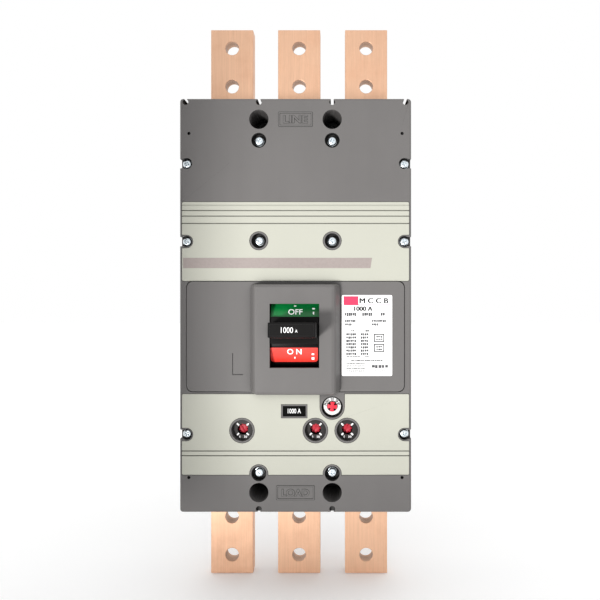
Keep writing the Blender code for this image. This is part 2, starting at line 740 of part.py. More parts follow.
def make_main_cover(skins):
    inner = HALF_HEIGHT - END_BLOCK
    proud = COVER_FACE + OVERSHOOT
    behind = COVER_BACK - OVERSHOOT
    cover = rounded_block(
        "main_cover",
        (-HALF_WIDTH, HALF_WIDTH),
        (COVER_BACK, COVER_FACE),
        (-HALF_HEIGHT, HALF_HEIGHT),
        CORNER_RADIUS,
        FACE_EDGE,
    )
    room = HALF_WIDTH - COVER_WALL
    cut(cover, box("cover_room", (-room, room), (behind, COVER_INSIDE), (-inner, inner)))
    for name, x in POLES.items():
        pocket = (x - END_POCKET_WIDTH / 2, x + END_POCKET_WIDTH / 2)
        for end in (-1, 1):
            ends = sorted((end * (inner + END_WALL), end * (HALF_HEIGHT - END_WALL)))
            cut(cover, box(f"end_pocket_{name}_{end}", pocket, (behind, COVER_INSIDE), ends))
    cut_vents(cover, inner)
    add_cover_pillars(cover, room)
    for name, zs in (("upper_recess", upper_trim_heights()), ("lower_recess", lower_trim_heights())):
        recess = trim_block(name, zs, (TRIM_FLOOR, proud), GAP)
        if name == "lower_recess":
            cut_lower_wells(recess, name, (TRIM_FLOOR, proud), GAP)
        cut(cover, recess)
    cut(cover, front_plate("panel_recess", panel_outline(PANEL_GAP), (TRIM_FLOOR, proud)))
    opening = HALF_WIDTH - PANEL_SIDE_STRIP - PANEL_LEDGE
    heights = (MID_BOTTOM + PANEL_BOTTOM_STRIP + PANEL_LEDGE / 2, MID_TOP - PANEL_LEDGE)
    cut(cover, box("panel_opening", (-opening, opening), (COVER_INSIDE - OVERSHOOT, proud), heights))
    cut_cover_wells(cover, proud, behind)
    return finish(cover, skins["dark"])


def cut_vents(cover, inner):
    """Rows of slots through the line end, where the gas of the arc leaves."""
    first = (COVER_BACK + COVER_INSIDE) / 2 - VENT_PITCH * (VENT_COUNT - 1) / 2
    ends = (inner - OVERSHOOT, HALF_HEIGHT + OVERSHOOT)
    for name, x in POLES.items():
        for number in range(VENT_COUNT):
            low = first + number * VENT_PITCH - VENT_HEIGHT / 2
            sides = (x - VENT_WIDTH / 2, x + VENT_WIDTH / 2)
            cut(cover, box(f"vent_{name}_{number}", sides, (low, low + VENT_HEIGHT), ends))


def add_cover_pillars(cover, room):
    centre, edge = screw_places()
    depths = (COVER_BACK, COVER_INSIDE + COVER_WALL / 2)
    inside = HALF_HEIGHT - END_BLOCK
    for number, (x, z) in enumerate(centre):
        if abs(z) < inside:
            add(cover, peg(f"pillar_{number}", x, z, depths, PILLAR))
    for number, (x, z) in enumerate(edge):
        ends = sorted((x - math.copysign(SIDE_WELL_RIM / 2, x), math.copysign(room + COVER_WALL / 2, x)))
        heights = (z - SIDE_WELL_RIM / 2 - COVER_WALL / 2, z + SIDE_WELL_RIM / 2 + COVER_WALL / 2)
        add(cover, box(f"edge_pillar_{number}", ends, depths, heights))
    tubes = (CASE_FRONT + 2 * GAP, COVER_INSIDE + COVER_WALL / 2)
    for number, x in enumerate(DIAL_XS):
        add(cover, peg(f"dial_tube_{number}", x, DIAL_Z, tubes, DIAL_WELL_RIM, SIDES_WIDE))
    add(cover, peg("button_tube", BUTTON_X, BUTTON_Z, tubes, BUTTON_LOBE - 2 * GAP, SIDES_WIDE))


def cut_cover_wells(cover, proud, behind):
    centre, edge = screw_places()
    for number, (x, z) in enumerate(centre):
        cut(cover, peg(f"well_{number}", x, z, (SCREW_SEAT, proud), CENTRE_WELL, SIDES_WIDE))
    for number, (x, z) in enumerate(edge):
        cut(cover, peg(f"edge_well_{number}", x, z, (SCREW_SEAT, proud), SIDE_WELL, SIDES_WIDE))
        ends = sorted((x, math.copysign(HALF_WIDTH + OVERSHOOT, x)))
        heights = (z - SIDE_NOTCH / 2, z + SIDE_NOTCH / 2)
        cut(cover, box(f"edge_notch_{number}", ends, (SCREW_SEAT, proud), heights))
    for number, (x, z) in enumerate(centre + edge):
        cut(cover, peg(f"cover_hole_{number}", x, z, (behind, proud), SCREW_HOLE))
    for side in SIDES.values():
        for z in MOUNT_HOLES_Z:
            name = f"access_{side}_{z:.3f}"
            cut(cover, peg(name, side * POLE_PITCH / 2, z, (behind, proud), MOUNT_ACCESS, SIDES_WIDE))
        for end in (-1, 1):
            at = (side * (HALF_WIDTH - PIN_HOLE_INSET), end * (HALF_HEIGHT - PIN_HOLE_FROM_END))
            cut(cover, peg(f"pin_hole_{side}_{end}", *at, (COVER_INSIDE, proud), PIN_HOLE))
    ring_front = COVER_FACE - DIAL_RING_BELOW_FACE
    for number, x in enumerate(DIAL_XS):
        cut(cover, peg(f"dial_well_{number}", x, DIAL_Z, (ring_front, proud), DIAL_WELL, SIDES_WIDE))
        room = (behind, ring_front - DIAL_RING_THICKNESS)
        cut(cover, peg(f"dial_room_{number}", x, DIAL_Z, room, DIAL_WELL, SIDES_WIDE))
        cut(cover, peg(f"dial_bore_{number}", x, DIAL_Z, (behind, proud), DIAL_RING_BORE, SIDES_WIDE))
    floor = COVER_FACE - BUTTON_WELL_FLOOR
    cut(cover, peg("button_well", BUTTON_X, BUTTON_Z, (floor, proud), BUTTON_WELL, SIDES_WIDE))
    cut(cover, peg("button_bore", BUTTON_X, BUTTON_Z, (behind, proud), BUTTON_DIAMETER + 2 * PIN_PLAY))
    window = (
        (RATING_X - RATING_WIDTH / 2, RATING_X + RATING_WIDTH / 2),
        (RATING_Z - RATING_HEIGHT / 2, RATING_Z + RATING_HEIGHT / 2),
    )
    cut(cover, box("rating_recess", window[0], (COVER_FACE - RATING_RECESS, proud), window[1]))
    cut(cover, *barrier_slots("cover_slot", (behind, proud), LINE_SLOTS))
    cut(cover, *barrier_slots("cover_load_slot", (COVER_FACE - LOAD_SLOT_SUNK, proud), LOAD_SLOTS))


def make_mid_panel(skins):
    panel = front_plate("mid_panel", panel_outline(0), (TRIM_FLOOR + GAP, PANEL_FACE))
    boss = boss_block("boss", (COVER_FACE + GAP, BOSS_FACE), 0)
    soften(boss, CORNER_RADIUS)
    add(panel, boss)
    cut(panel, boss_block("boss_room", (TRIM_FLOOR - OVERSHOOT, BOSS_FACE - BOSS_WALL), BOSS_WALL))
    low = HANDLE_PIVOT_Z - WINDOW_HEIGHT / 2
    window = (low, low + WINDOW_HEIGHT)
    sides = (-WINDOW_WIDTH / 2, WINDOW_WIDTH / 2)
    cut(panel, box("window", sides, (TRIM_FLOOR, BOSS_FACE + OVERSHOOT), window))
    groove_depths = (PANEL_FACE - TAB_GROOVE, PANEL_FACE + OVERSHOOT)
    bottom = TAB_TOP - TAB_HEIGHT
    cut(panel, box("tab_side", (TAB_LEFT, TAB_LEFT + TAB_GROOVE), groove_depths, (bottom, TAB_TOP)))
    cut(
        panel,
        box(
            "tab_end",
            (TAB_LEFT + TAB_GROOVE / 2, TAB_LEFT + TAB_WIDTH),
            groove_depths,
            (bottom, bottom + TAB_GROOVE),
        ),
    )
    return finish(panel, skins["dark"])


def make_labels(skins):
    left = BOSS_WIDTH / 2 + BOSS_FLARE + LABEL_FROM_BOSS
    depths = (PANEL_FACE + GAP, PANEL_FACE + GAP + LABEL_THICKNESS)
    heights = (LABEL_TOP - LABEL_HEIGHT, LABEL_TOP)
    outline = rounded_rectangle((left, left + LABEL_WIDTH), heights, CORNER_RADIUS / 2)
    finish(front_plate("rating_label", outline, depths), skins["paper"])
    width, height = RATING_WIDTH / 2 - GAP, RATING_HEIGHT / 2 - GAP
    floor = COVER_FACE - RATING_RECESS + GAP
    plate = box(
        "rating_plate",
        (RATING_X - width, RATING_X + width),
        (floor, floor + RATING_PLATE_THICKNESS),
        (RATING_Z - height, RATING_Z + height),
    )
    finish(plate, skins["black"])


def make_screws(skins):
    """Cover screws, six between the poles and six in the notches of the sides."""
    head = SCREW_HEAD / 2
    seat = SCREW_SEAT + GAP
    top = seat + SCREW_HEAD_HEIGHT
    shank = SCREW_SHANK / 2
    edge = SCREW_HEAD_HEIGHT / 4
    profile = (
        (0, top),
        (head - edge, top),
        (head, top - edge),
        (head, seat),
        (shank, seat),
        (shank, SCREW_END_DEPTH),
        (0, SCREW_END_DEPTH),
    )
    groups = (("centre", POLE_PITCH / 2, CENTRE_SCREWS), ("edge", SIDE_SCREW_X, SIDE_SCREWS))
    for group, x, heights in groups:
        for side, sign in SIDES.items():
            for level, z in heights.items():
                screw = turned(f"{group}_screw_{level}_{side}", sign * x, z, profile)
                finish(screw, skins["zinc"])


# Terminals and the current path


def make_terminals(skins):
    line_end, load_end = HALF_HEIGHT + LINE_OVERHANG, -HALF_HEIGHT - LOAD_OVERHANG
    for name, x in POLES.items():
        sides = (x - BAR_WIDTH / 2, x + BAR_WIDTH / 2)
        line = box(f"line_bar_{name}", sides, (BAR_BACK, BAR_FRONT), (LINE_BAR_INNER_END, line_end))
        low = LINE_BAR_INNER_END + BAR_THICKNESS / 4
        pad = (BAR_FRONT - CONTACT_THICKNESS / 2, BAR_FRONT + CONTACT_THICKNESS)
        width = (x - CONTACT_WIDTH / 2, x + CONTACT_WIDTH / 2)
        add(line, box(f"fixed_contact_{name}", width, pad, (low, low + CONTACT_HEIGHT)))
        load = box(f"load_bar_{name}", sides, (BAR_BACK, BAR_FRONT), (load_end, LOAD_BAR_INNER_END))
        for bar, end, inward in ((line, line_end, -1), (load, load_end, 1)):
            for number in range(2):
                z = end + inward * (BAR_HOLE_FROM_END + number * BAR_HOLE_PITCH)
                depths = (BAR_BACK - OVERSHOOT, BAR_FRONT + OVERSHOOT)
                cut(bar, peg(f"{bar.name}_hole_{number}", x, z, depths, BAR_HOLE, SIDES_WIDE))
            finish(bar, skins["copper"])


def make_conductors(skins):
    """The heater with its bimetal blade on each load bar, and the braid from it to the contact arm."""
    back = BAR_FRONT + GAP
    front = back + HEATER_STEEL
    for name, x in POLES.items():
        half = HEATER_WIDTH / 2
        bottom = LOAD_BAR_INNER_END - HEATER_WIDTH
        heater = box(f"heater_blade_{name}", (x - half, x + half), (back, front), (bottom, HEATER_TOP))
        blade = (BLADE_Z - BLADE_THICKNESS / 2, BLADE_Z + BLADE_THICKNESS / 2)
        add(heater, box(f"blade_{name}", (x - half / 2, x + half / 2), (front - GAP, BLADE_END_DEPTH), blade))
        finish(heater, skins["copper"])
        finish(make_shunt(name, x, (back + front) / 2), skins["braid"])


def make_shunt(name, x, depth):
    """A braid that bows towards the back between the heater's upper end and the tail of the arm."""
    start = Vector((x, -depth, HEATER_TOP + SHUNT_DIAMETER / 2 + GAP))
    end = Vector((x, -CROSSBAR_DEPTH, CROSSBAR_Z - CROSSBAR_RADIUS - SHUNT_DIAMETER / 2 - PIN_PLAY))
    bow = Vector((x, -CROSSBAR_DEPTH + SHUNT_DIAMETER * 2, (start.z + end.z) / 2))
    data = bpy.data.curves.new(f"shunt_{name}_path", "CURVE")
    data.dimensions = "3D"
    data.bevel_depth = SHUNT_DIAMETER / 2
    data.bevel_resolution = 2
    data.use_fill_caps = True
    spline = data.splines.new("POLY")
    spans = 6
    spline.points.add(spans)
    for number, point in enumerate(spline.points):
        share = number / spans
        where = start * (1 - share) ** 2 + bow * 2 * share * (1 - share) + end * share**2
        point.co = (*where, 1)
    curve = bpy.data.objects.new(f"shunt_{name}_path", data)
    return mesh_from_curve(curve, f"shunt_{name}")


def make_arc_chutes(skins):
    for name, x in POLES.items():
        half = CHUTE_WIDTH / 2
        heights = (CHUTE_BOTTOM, CHUTE_TOP)
        wall = (x - half, x - half + CHUTE_SIDE)
        chute = box(f"arc_chute_{name}", wall, (CHUTE_BACK, CHUTE_FRONT), heights)
        wall = (x + half - CHUTE_SIDE, x + half)
        add(chute, box(f"chute_wall_{name}", wall, (CHUTE_BACK, CHUTE_FRONT), heights))
        pitch = (CHUTE_FRONT - CHUTE_BACK - 2 * CHUTE_SIDE) / CHUTE_PLATES
        for number in range(CHUTE_PLATES):
            low = CHUTE_BACK + CHUTE_SIDE + (number + 0.5) * pitch - CHUTE_PLATE_STEEL / 2
            outline = chute_plate_outline(x, half - CHUTE_SIDE / 2)
            plate = front_plate(f"chute_plate_{name}_{number}", outline, (low, low + CHUTE_PLATE_STEEL))
            add(chute, plate)
        finish(chute, skins["steel"])


def chute_plate_outline(x, half):
    """A splitter plate with a notch at its lower edge for the arm."""
    notch = CHUTE_NOTCH_WIDTH / 2
    low = CHUTE_BOTTOM + CHUTE_SIDE
    high = CHUTE_TOP - CHUTE_SIDE
    root = CHUTE_BOTTOM + CHUTE_NOTCH_HEIGHT
    return (
        (x - half, low),
        (x - notch, low),
        (x - notch, root - notch),
        (x, root),
        (x + notch, root - notch),
        (x + notch, low),
        (x + half, low),
        (x + half, high),
        (x - half, high),
    )


# The switching mechanism


def contact_arm_outline():
    """The closed arm in (depth, Z): a foot in the crossbar, a slanted beam and the tip over the contact."""
    touch = BAR_FRONT + CONTACT_THICKNESS + GAP
    tip = LINE_BAR_INNER_END + BAR_THICKNESS / 4 + CONTACT_HEIGHT + CONTACT_THICKNESS
    q_depth, q_z = CROSSBAR_AXIS
    foot = q_depth - CROSSBAR_SEAT + GAP
    radius = CROSSBAR_RADIUS
    bend = LINE_BAR_INNER_END
    return (
        (foot, q_z - radius / 2),
        (q_depth + radius * 0.6, q_z - radius * 0.7),
        (q_depth + radius, q_z + radius * 0.4),
        (touch + ARM_THICKNESS * 0.9, bend - ARM_THICKNESS),
        (touch + ARM_THICKNESS, tip),
        (touch, tip),
        (touch, bend),
        (touch - CONTACT_THICKNESS, bend - ARM_THICKNESS),
        (q_depth + radius * 0.35, q_z + radius * 1.5),
        (foot, q_z + radius * 0.8),
    )


def make_crossbar(skins):
    """The crossbar with a seat for each arm. Both are drawn closed and turned to their rest."""
    half = HALF_WIDTH - BASE_SIDE_WALL - CROSSBAR_SIDE_PLAY
    crossbar = axle("crossbar", CROSSBAR_AXIS, (-half, half), 2 * CROSSBAR_RADIUS, SIDES_WIDE // 2)
    depth, z = CROSSBAR_AXIS
    reach = CROSSBAR_RADIUS + OVERSHOOT
    seat = ((depth - CROSSBAR_SEAT, z - reach), (depth + reach, z - reach), (depth + reach, z + reach))
    seat += ((depth - CROSSBAR_SEAT, z + reach),)
    for name, x in POLES.items():
        sides = (x - ARM_WIDTH / 2 - GAP, x + ARM_WIDTH / 2 + GAP)
        cut(crossbar, side_plate(f"arm_seat_{name}", turned_outline(seat, CROSSBAR_AXIS, ARM_REST), sides))
    finish(put_origin(crossbar, 0, CROSSBAR_AXIS), skins["insulator"])
    for name, x in POLES.items():
        outline = turned_outline(contact_arm_outline(), CROSSBAR_AXIS, ARM_REST)
        sides = (x - ARM_WIDTH / 2, x + ARM_WIDTH / 2)
        arm = side_plate(f"contact_arm_{name}", outline, sides)
        put_origin(arm, x, CROSSBAR_AXIS)
        if name == "middle":
            hole = LINK_PIN + 2 * PIN_PLAY
            ends = (sides[0] - OVERSHOOT, sides[1] + OVERSHOOT)
            cut(arm, axle("arm_pin_hole", toggle_foot(), ends, hole))
        finish(arm, skins["copper"])


def toggle_foot():
    """Where the lower link is pinned to the middle arm, at rest."""
    closed = (CROSSBAR_DEPTH + TOGGLE_ON_ARM[0], CROSSBAR_Z + TOGGLE_ON_ARM[1])
    return rotated(closed, CROSSBAR_AXIS, ARM_REST)


def toggle_length():
    """Each link's length: with the arms closed the two are almost in line."""
    closed = (CROSSBAR_DEPTH + TOGGLE_ON_ARM[0], CROSSBAR_Z + TOGGLE_ON_ARM[1])
    return math.dist(closed, TOGGLE_ANCHOR) / 2 + TOGGLE_SLACK


def toggle_knee():
    """Where the two links meet at rest, below the line between their far ends."""
    foot = toggle_foot()
    span = math.dist(foot, TOGGLE_ANCHOR)
    rise = math.sqrt(toggle_length() ** 2 - (span / 2) ** 2)
    along = ((TOGGLE_ANCHOR[0] - foot[0]) / span, (TOGGLE_ANCHOR[1] - foot[1]) / span)
    middle = ((TOGGLE_ANCHOR[0] + foot[0]) / 2, (TOGGLE_ANCHOR[1] + foot[1]) / 2)
    return (middle[0] + along[1] * rise, middle[1] - along[0] * rise)


def clevis(name, ends, width, inside):
    """Two like link plates held apart by a pin at their first end."""
    outline = bar_outline(*ends, width)
    low, high = inside / 2, inside / 2 + LINK_STEEL
    link = side_plate(name, outline, (-high, -low))
    add(link, side_plate(f"{name}_twin", outline, (low, high)))
    add(link, axle(f"{name}_pin", ends[0], (-high + GAP, high - GAP), LINK_PIN))
    return link


def make_toggle(skins):
    foot, knee = toggle_foot(), toggle_knee()
    upper = clevis("upper_link", (TOGGLE_ANCHOR, knee), UPPER_LINK_WIDTH, UPPER_LINK_INSIDE)
    width = YOKE_WIDTH / 2 - YOKE_STEEL - PIN_PLAY
    cut(upper, axle("upper_link_hole", knee, (-width, width), LINK_PIN + 2 * PIN_PLAY))
    lower = clevis("lower_link", (foot, knee), LOWER_LINK_WIDTH, LOWER_LINK_INSIDE)
    cut(lower, axle("lower_link_eye", knee, (-width, width), LINK_PIN + 2 * TOGGLE_EYE_PLAY))
    pin = axle("toggle_pin", knee, (-width, width), LINK_PIN)
    finish(put_origin(upper, 0, TOGGLE_ANCHOR), skins["steel"])
    finish(put_origin(lower, 0, foot), skins["steel"])
    finish(put_origin(pin, 0, TOGGLE_ANCHOR), skins["steel"])


def make_cradle(skins):
    pivot, anchor = CRADLE_PIVOT, TOGGLE_ANCHOR
    nose = (LATCH_PIVOT[0] + 0.010, LATCH_PIVOT[1] + 0.0065)
    outline = (
        (pivot[0] - 0.006, pivot[1] + 0.005),
        (pivot[0] + 0.006, pivot[1] + 0.005),
        (anchor[0] + 0.005, anchor[1] + 0.002),
        (anchor[0] + 0.004, anchor[1] - 0.014),
        (nose[0] + 0.007, nose[1]),
        nose,
        (nose[0] + 0.001, nose[1] + 0.004),
        (anchor[0] - 0.008, anchor[1] - 0.014),
        (anchor[0] - 0.006, anchor[1]),
    )
    sides = (-CRADLE_STEEL / 2, CRADLE_STEEL / 2)
    cradle = side_plate("cradle", outline, sides)
    width = UPPER_LINK_INSIDE
    cut(cradle, axle("cradle_pin_hole", pivot, (-width, width), CRADLE_PIN + 2 * PIN_PLAY))
    cut(cradle, axle("cradle_link_hole", anchor, (-width, width), LINK_PIN + 2 * PIN_PLAY))
    finish(put_origin(cradle, 0, pivot), skins["steel"])
    half = FRAME_INSIDE / 2 - GAP
    finish(axle("cradle_pin", pivot, (-half, half), CRADLE_PIN), skins["steel"])


def make_frame(skins):
    """The two side plates of the mechanism, each with the stub that a leg of the yoke turns on."""
    foot = BASE_FLOOR + GAP
    past_crossbar = CROSSBAR_DEPTH + CROSSBAR_RADIUS + OVERSHOOT
    below = CROSSBAR_Z - CROSSBAR_RADIUS - OVERSHOOT
    outline = (
        (foot, CASE_TOP + 0.016),
        (CASE_FRONT - 0.006, CASE_TOP + 0.016),
        (COVER_INSIDE - CASE_WALL, CASE_TOP + 0.030),
        (COVER_INSIDE - CASE_WALL, CRADLE_PIVOT[1] + 0.006),
        (CRADLE_PIVOT[0] + 0.006, CRADLE_PIVOT[1] + 0.016),
        (past_crossbar + 0.009, CRADLE_PIVOT[1] + 0.016),
        (past_crossbar, CRADLE_PIVOT[1] + 0.008),
        (past_crossbar, below + 0.006),
        (past_crossbar - 0.010, below - 0.002),
        (foot, below - 0.020),
    )
    for side, sign in SIDES.items():
        near, far = sign * FRAME_INSIDE / 2, sign * (FRAME_INSIDE / 2 + FRAME_STEEL)
        plate = side_plate(f"frame_plate_{side}", outline, sorted((near, far)))
        inner = sign * (YOKE_WIDTH / 2 - YOKE_STEEL - PIN_PLAY)
        stub = sorted((inner, near + sign * FRAME_STEEL / 2))
        add(plate, axle(f"pivot_stub_{side}", HANDLE_PIVOT, stub, PIVOT_STUB))
        finish(plate, skins["steel"])


def on_handle(points):
    """Points (reach, height) along the handle, as (depth, Z) with the handle at rest."""
    level = [(HANDLE_PIVOT[0] + reach, HANDLE_PIVOT[1] + height) for reach, height in points]
    return turned_outline(level, HANDLE_PIVOT, -HANDLE_REST)


def make_yoke(skins):
    ear, reach = YOKE_EAR, YOKE_REACH
    leg = on_handle(((0, -ear), (reach, -0.75 * ear), (reach, 0.75 * ear), (0, ear), (-0.75 * ear, 0)))
    half = YOKE_WIDTH / 2
    yoke = side_plate("handle_yoke", leg, (-half, YOKE_STEEL - half))
    add(yoke, side_plate("yoke_leg", leg, (half - YOKE_STEEL, half)))
    inner = reach - YOKE_STEEL
    edge, tip = 0.7 * ear, reach - GAP
    bridge = on_handle(((inner, -edge), (tip, -edge), (tip, edge), (inner, edge)))
    add(yoke, side_plate("yoke_bridge", bridge, (GAP - half, half - GAP)))
    hole = PIVOT_STUB + 2 * PIN_PLAY
    cut(yoke, axle("yoke_holes", HANDLE_PIVOT, (-half - OVERSHOOT, half + OVERSHOOT), hole))
    return finish(put_origin(yoke, 0, HANDLE_PIVOT), skins["steel"])


def make_handle(skins):
    """The grip on its skirt, with the neck through the shutter down to the bridge of the yoke."""
    skirt = SHUTTER_RADIUS + SKIRT_OVER_SHUTTER + SKIRT_THICKNESS
    root, tip = HANDLE_ROOT / 2, HANDLE_TIP / 2
    grip = on_handle(((skirt, -root), (HANDLE_REACH, -tip), (HANDLE_REACH, tip), (skirt, root)))
    handle = side_plate("handle", grip, (-HANDLE_WIDTH / 2, HANDLE_WIDTH / 2))
    soften(handle, HANDLE_EDGE)
    low, half = skirt - SKIRT_THICKNESS, SKIRT_HEIGHT / 2
    outline = on_handle(((low, -half), (skirt + GAP, -half), (skirt + GAP, half), (low, half)))
    add(handle, side_plate("handle_skirt", outline, (-SKIRT_WIDTH / 2, SKIRT_WIDTH / 2)))
    seat = YOKE_REACH + GAP
    neck = NECK_HEIGHT / 2
    outline = on_handle(((seat, -neck), (low + GAP, -neck), (low + GAP, neck), (seat, neck)))
    add(handle, side_plate("handle_neck", outline, (-NECK_WIDTH / 2, NECK_WIDTH / 2)))
    return finish(put_origin(handle, 0, HANDLE_PIVOT), skins["black"])


def make_shutter(skins):
    """The arc plate behind the window. It turns with the handle and keeps the window closed."""
    inner = SHUTTER_RADIUS - SHUTTER_THICKNESS
    half = SHUTTER_HALF_ANGLE
    steps = 4 * ARC_STEPS
    outline = arc(HANDLE_PIVOT, SHUTTER_RADIUS, -half, half, steps) + arc(HANDLE_PIVOT, inner, half, -half, steps)
    outline = turned_outline(outline, HANDLE_PIVOT, -HANDLE_REST)
    sides = (-SHUTTER_WIDTH / 2, SHUTTER_WIDTH / 2)
    shutter = side_plate("handle_shutter", outline, sides)
    neck = NECK_HEIGHT / 2 + GAP
    reach = (inner - OVERSHOOT, SHUTTER_RADIUS + OVERSHOOT)
    hole = on_handle(((reach[0], -neck), (reach[1], -neck), (reach[1], neck), (reach[0], neck)))
    cut(shutter, side_plate("neck_hole", hole, (-NECK_WIDTH / 2 - GAP, NECK_WIDTH / 2 + GAP)))
    return finish(put_origin(shutter, 0, HANDLE_PIVOT), skins["black"])


def make_main_springs(skins):
    """The pair of springs that pull the toggle pin towards the bridge of the yoke."""
    knee = toggle_knee()
    hook = on_handle(((YOKE_REACH - YOKE_STEEL - 2 * GAP, 0),))[0]
    span = math.dist(knee, hook)
    clear = (LINK_PIN / 2 + GAP) / span
    start = (knee[0] + (hook[0] - knee[0]) * clear, knee[1] + (hook[1] - knee[1]) * clear)
    end_gap = SPRING_DIAMETER * 0.4 / span
    end = (hook[0] + (knee[0] - hook[0]) * end_gap, hook[1] + (knee[1] - hook[1]) * end_gap)
    for side, sign in SIDES.items():
        x = sign * SPRING_X
        spring = rod(f"main_spring_{side}", (x, *start), (x, *end), SPRING_DIAMETER)
        finish(put_origin(spring, x, HANDLE_PIVOT), skins["steel"])


# The trip unit


def make_trip_unit(skins):
    half = HALF_WIDTH - CASE_SIDE_PLAY - SIDE_SCREW_INSET
    case = box("trip_unit_case", (-half, half), (COVER_BACK, CASE_FRONT), (CASE_BOTTOM, CASE_TOP))
    room = (-half + CASE_WALL, half - CASE_WALL)
    heights = (CASE_BOTTOM + CASE_WALL, CASE_TOP - CASE_WALL)
    cut(case, box("case_room", room, (COVER_BACK - OVERSHOOT, CASE_FRONT - CASE_WALL), heights))
    through = (CASE_FRONT - CASE_WALL - OVERSHOOT, CASE_FRONT + OVERSHOOT)
    for number, x in enumerate(DIAL_XS):
        cut(case, peg(f"shaft_hole_{number}", x, DIAL_Z, through, DIAL_SHAFT + 2 * PIN_PLAY))
    cut(case, peg("rod_hole", BUTTON_X, BUTTON_Z, through, BUTTON_ROD + 2 * PIN_PLAY))
    finish(case, skins["insulator"])
    make_trip_bar(skins, half - CASE_WALL - OVERSHOOT)
    latch = (
        (LATCH_PIVOT[0] - 0.003, LATCH_PIVOT[1] - 0.003),
        (LATCH_PIVOT[0] + 0.024, LATCH_PIVOT[1] - 0.003),
        (LATCH_PIVOT[0] + 0.024, LATCH_PIVOT[1]),
        (LATCH_PIVOT[0] + 0.006, LATCH_PIVOT[1] + 0.0015),
        (LATCH_PIVOT[0] + 0.003, LATCH_PIVOT[1] + 0.006),
        (LATCH_PIVOT[0] - 0.003, LATCH_PIVOT[1] + 0.006),
    )
    plate = side_plate("latch", latch, (-LATCH_WIDTH / 2, LATCH_WIDTH / 2))
    finish(put_origin(plate, 0, LATCH_PIVOT), skins["steel"])


def make_trip_bar(skins, half):
    """The bar with a lug for each bimetal blade and one for the button's rod."""
    depth, z = TRIP_BAR_AXIS
    bar = axle("trip_bar", TRIP_BAR_AXIS, (-half, half), TRIP_BAR_DIAMETER)
    for name, x in POLES.items():
        lug = (z - TRIP_LUG / 2, z + TRIP_LUG / 2)
        add(bar, box(f"blade_lug_{name}", (x - TRIP_LUG * 2, x + TRIP_LUG * 2), (depth - 0.013, depth), lug))
    lug = (depth - TRIP_LUG / 2, depth + TRIP_LUG / 2)
    sides = (BUTTON_X - TRIP_LUG * 2, BUTTON_X + TRIP_LUG * 2)
    add(bar, box("rod_lug", sides, lug, (z, CASE_TOP - CASE_WALL - PIN_PLAY * 4)))
    return finish(put_origin(bar, 0, TRIP_BAR_AXIS), skins["insulator"])


def make_button(skins):
    face = COVER_FACE - BUTTON_BELOW_FACE
    under = face - BUTTON_HEAD
    rod_end = TRIP_BAR_DEPTH + TRIP_LUG / 2 + BUTTON_PLAY
    head, stem = BUTTON_DIAMETER / 2, BUTTON_ROD / 2
    profile = ((0, face), (head - 0.0006, face), (head, face - 0.0006), (head, under), (stem, under))
    profile += ((stem, rod_end), (0, rod_end))
    finish(turned("trip_button", BUTTON_X, BUTTON_Z, profile, SIDES_WIDE // 2), skins["red"])
    inside, outside = head + PIN_PLAY, COLLAR_DIAMETER / 2
    floor = COVER_FACE - BUTTON_WELL_FLOOR + GAP
    top = COVER_FACE - COLLAR_BELOW_FACE
    ring = ((inside, top), (outside - GAP, top), (outside, top - GAP))
    ring += ((outside, floor), (inside, floor), (inside, top))
    finish(turned("button_collar", BUTTON_X, BUTTON_Z, ring, SIDES_WIDE), skins["white"])
    seat, top = CASE_FRONT + GAP, under - GAP
    inside, outside = stem + PIN_PLAY, stem + 3 * PIN_PLAY
    sleeve = ((inside, top), (outside, top), (outside, seat), (inside, seat), (inside, top))
    finish(turned("button_spring", BUTTON_X, BUTTON_Z, sleeve), skins["steel"])


def make_dials(skins):
    back = CASE_FRONT + 2 * GAP
    face = back + DIAL_THICKNESS
    top = face + DIAL_KNOB_HEIGHT
    disc, knob, shaft = DIAL_DIAMETER / 2, DIAL_KNOB / 2, DIAL_SHAFT / 2
    end = back - DIAL_SHAFT_LENGTH
    profile = ((0, top), (knob - GAP, top), (knob, top - GAP), (knob, face), (disc - GAP, face))
    profile += ((disc, face - GAP), (disc, back), (shaft, back), (shaft, end), (0, end))
    for name, x in zip(("current", "delay", "instant"), DIAL_XS):
        dial = turned(f"{name}_dial", x, DIAL_Z, profile, SIDES_WIDE)
        slot = box(
            f"{name}_slot",
            (x - DIAL_SLOT / 2, x + DIAL_SLOT / 2),
            (top - DIAL_SLOT, top + OVERSHOOT),
            (DIAL_Z - knob - OVERSHOOT, DIAL_Z + knob + OVERSHOOT),
        )
        cut(dial, slot)
        finish(dial, skins["black"])


def main():
    global PARTS, CUTTERS
    clear_scene()
    PARTS = new_collection("molded_case_breaker")
    CUTTERS = new_collection("cutters")
    skins = make_materials()
    make_base(skins)
    make_main_cover(skins)
    make_mid_panel(skins)
    make_trims(skins)
    make_labels(skins)
    make_screws(skins)
    make_terminals(skins)
    make_conductors(skins)
    make_arc_chutes(skins)
    make_crossbar(skins)
    make_toggle(skins)
    make_cradle(skins)
    make_frame(skins)
    make_yoke(skins)
    make_handle(skins)
    make_shutter(skins)
    make_main_springs(skins)
    make_trip_unit(skins)
    make_button(skins)
    make_dials(skins)
    CUTTERS.hide_render = True


main()
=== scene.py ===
"""Molded case breaker: finishes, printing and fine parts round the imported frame, with its stage."""
import itertools
import json
import math

import bmesh
import bpy
import numpy as np
from mathutils import Matrix, Vector


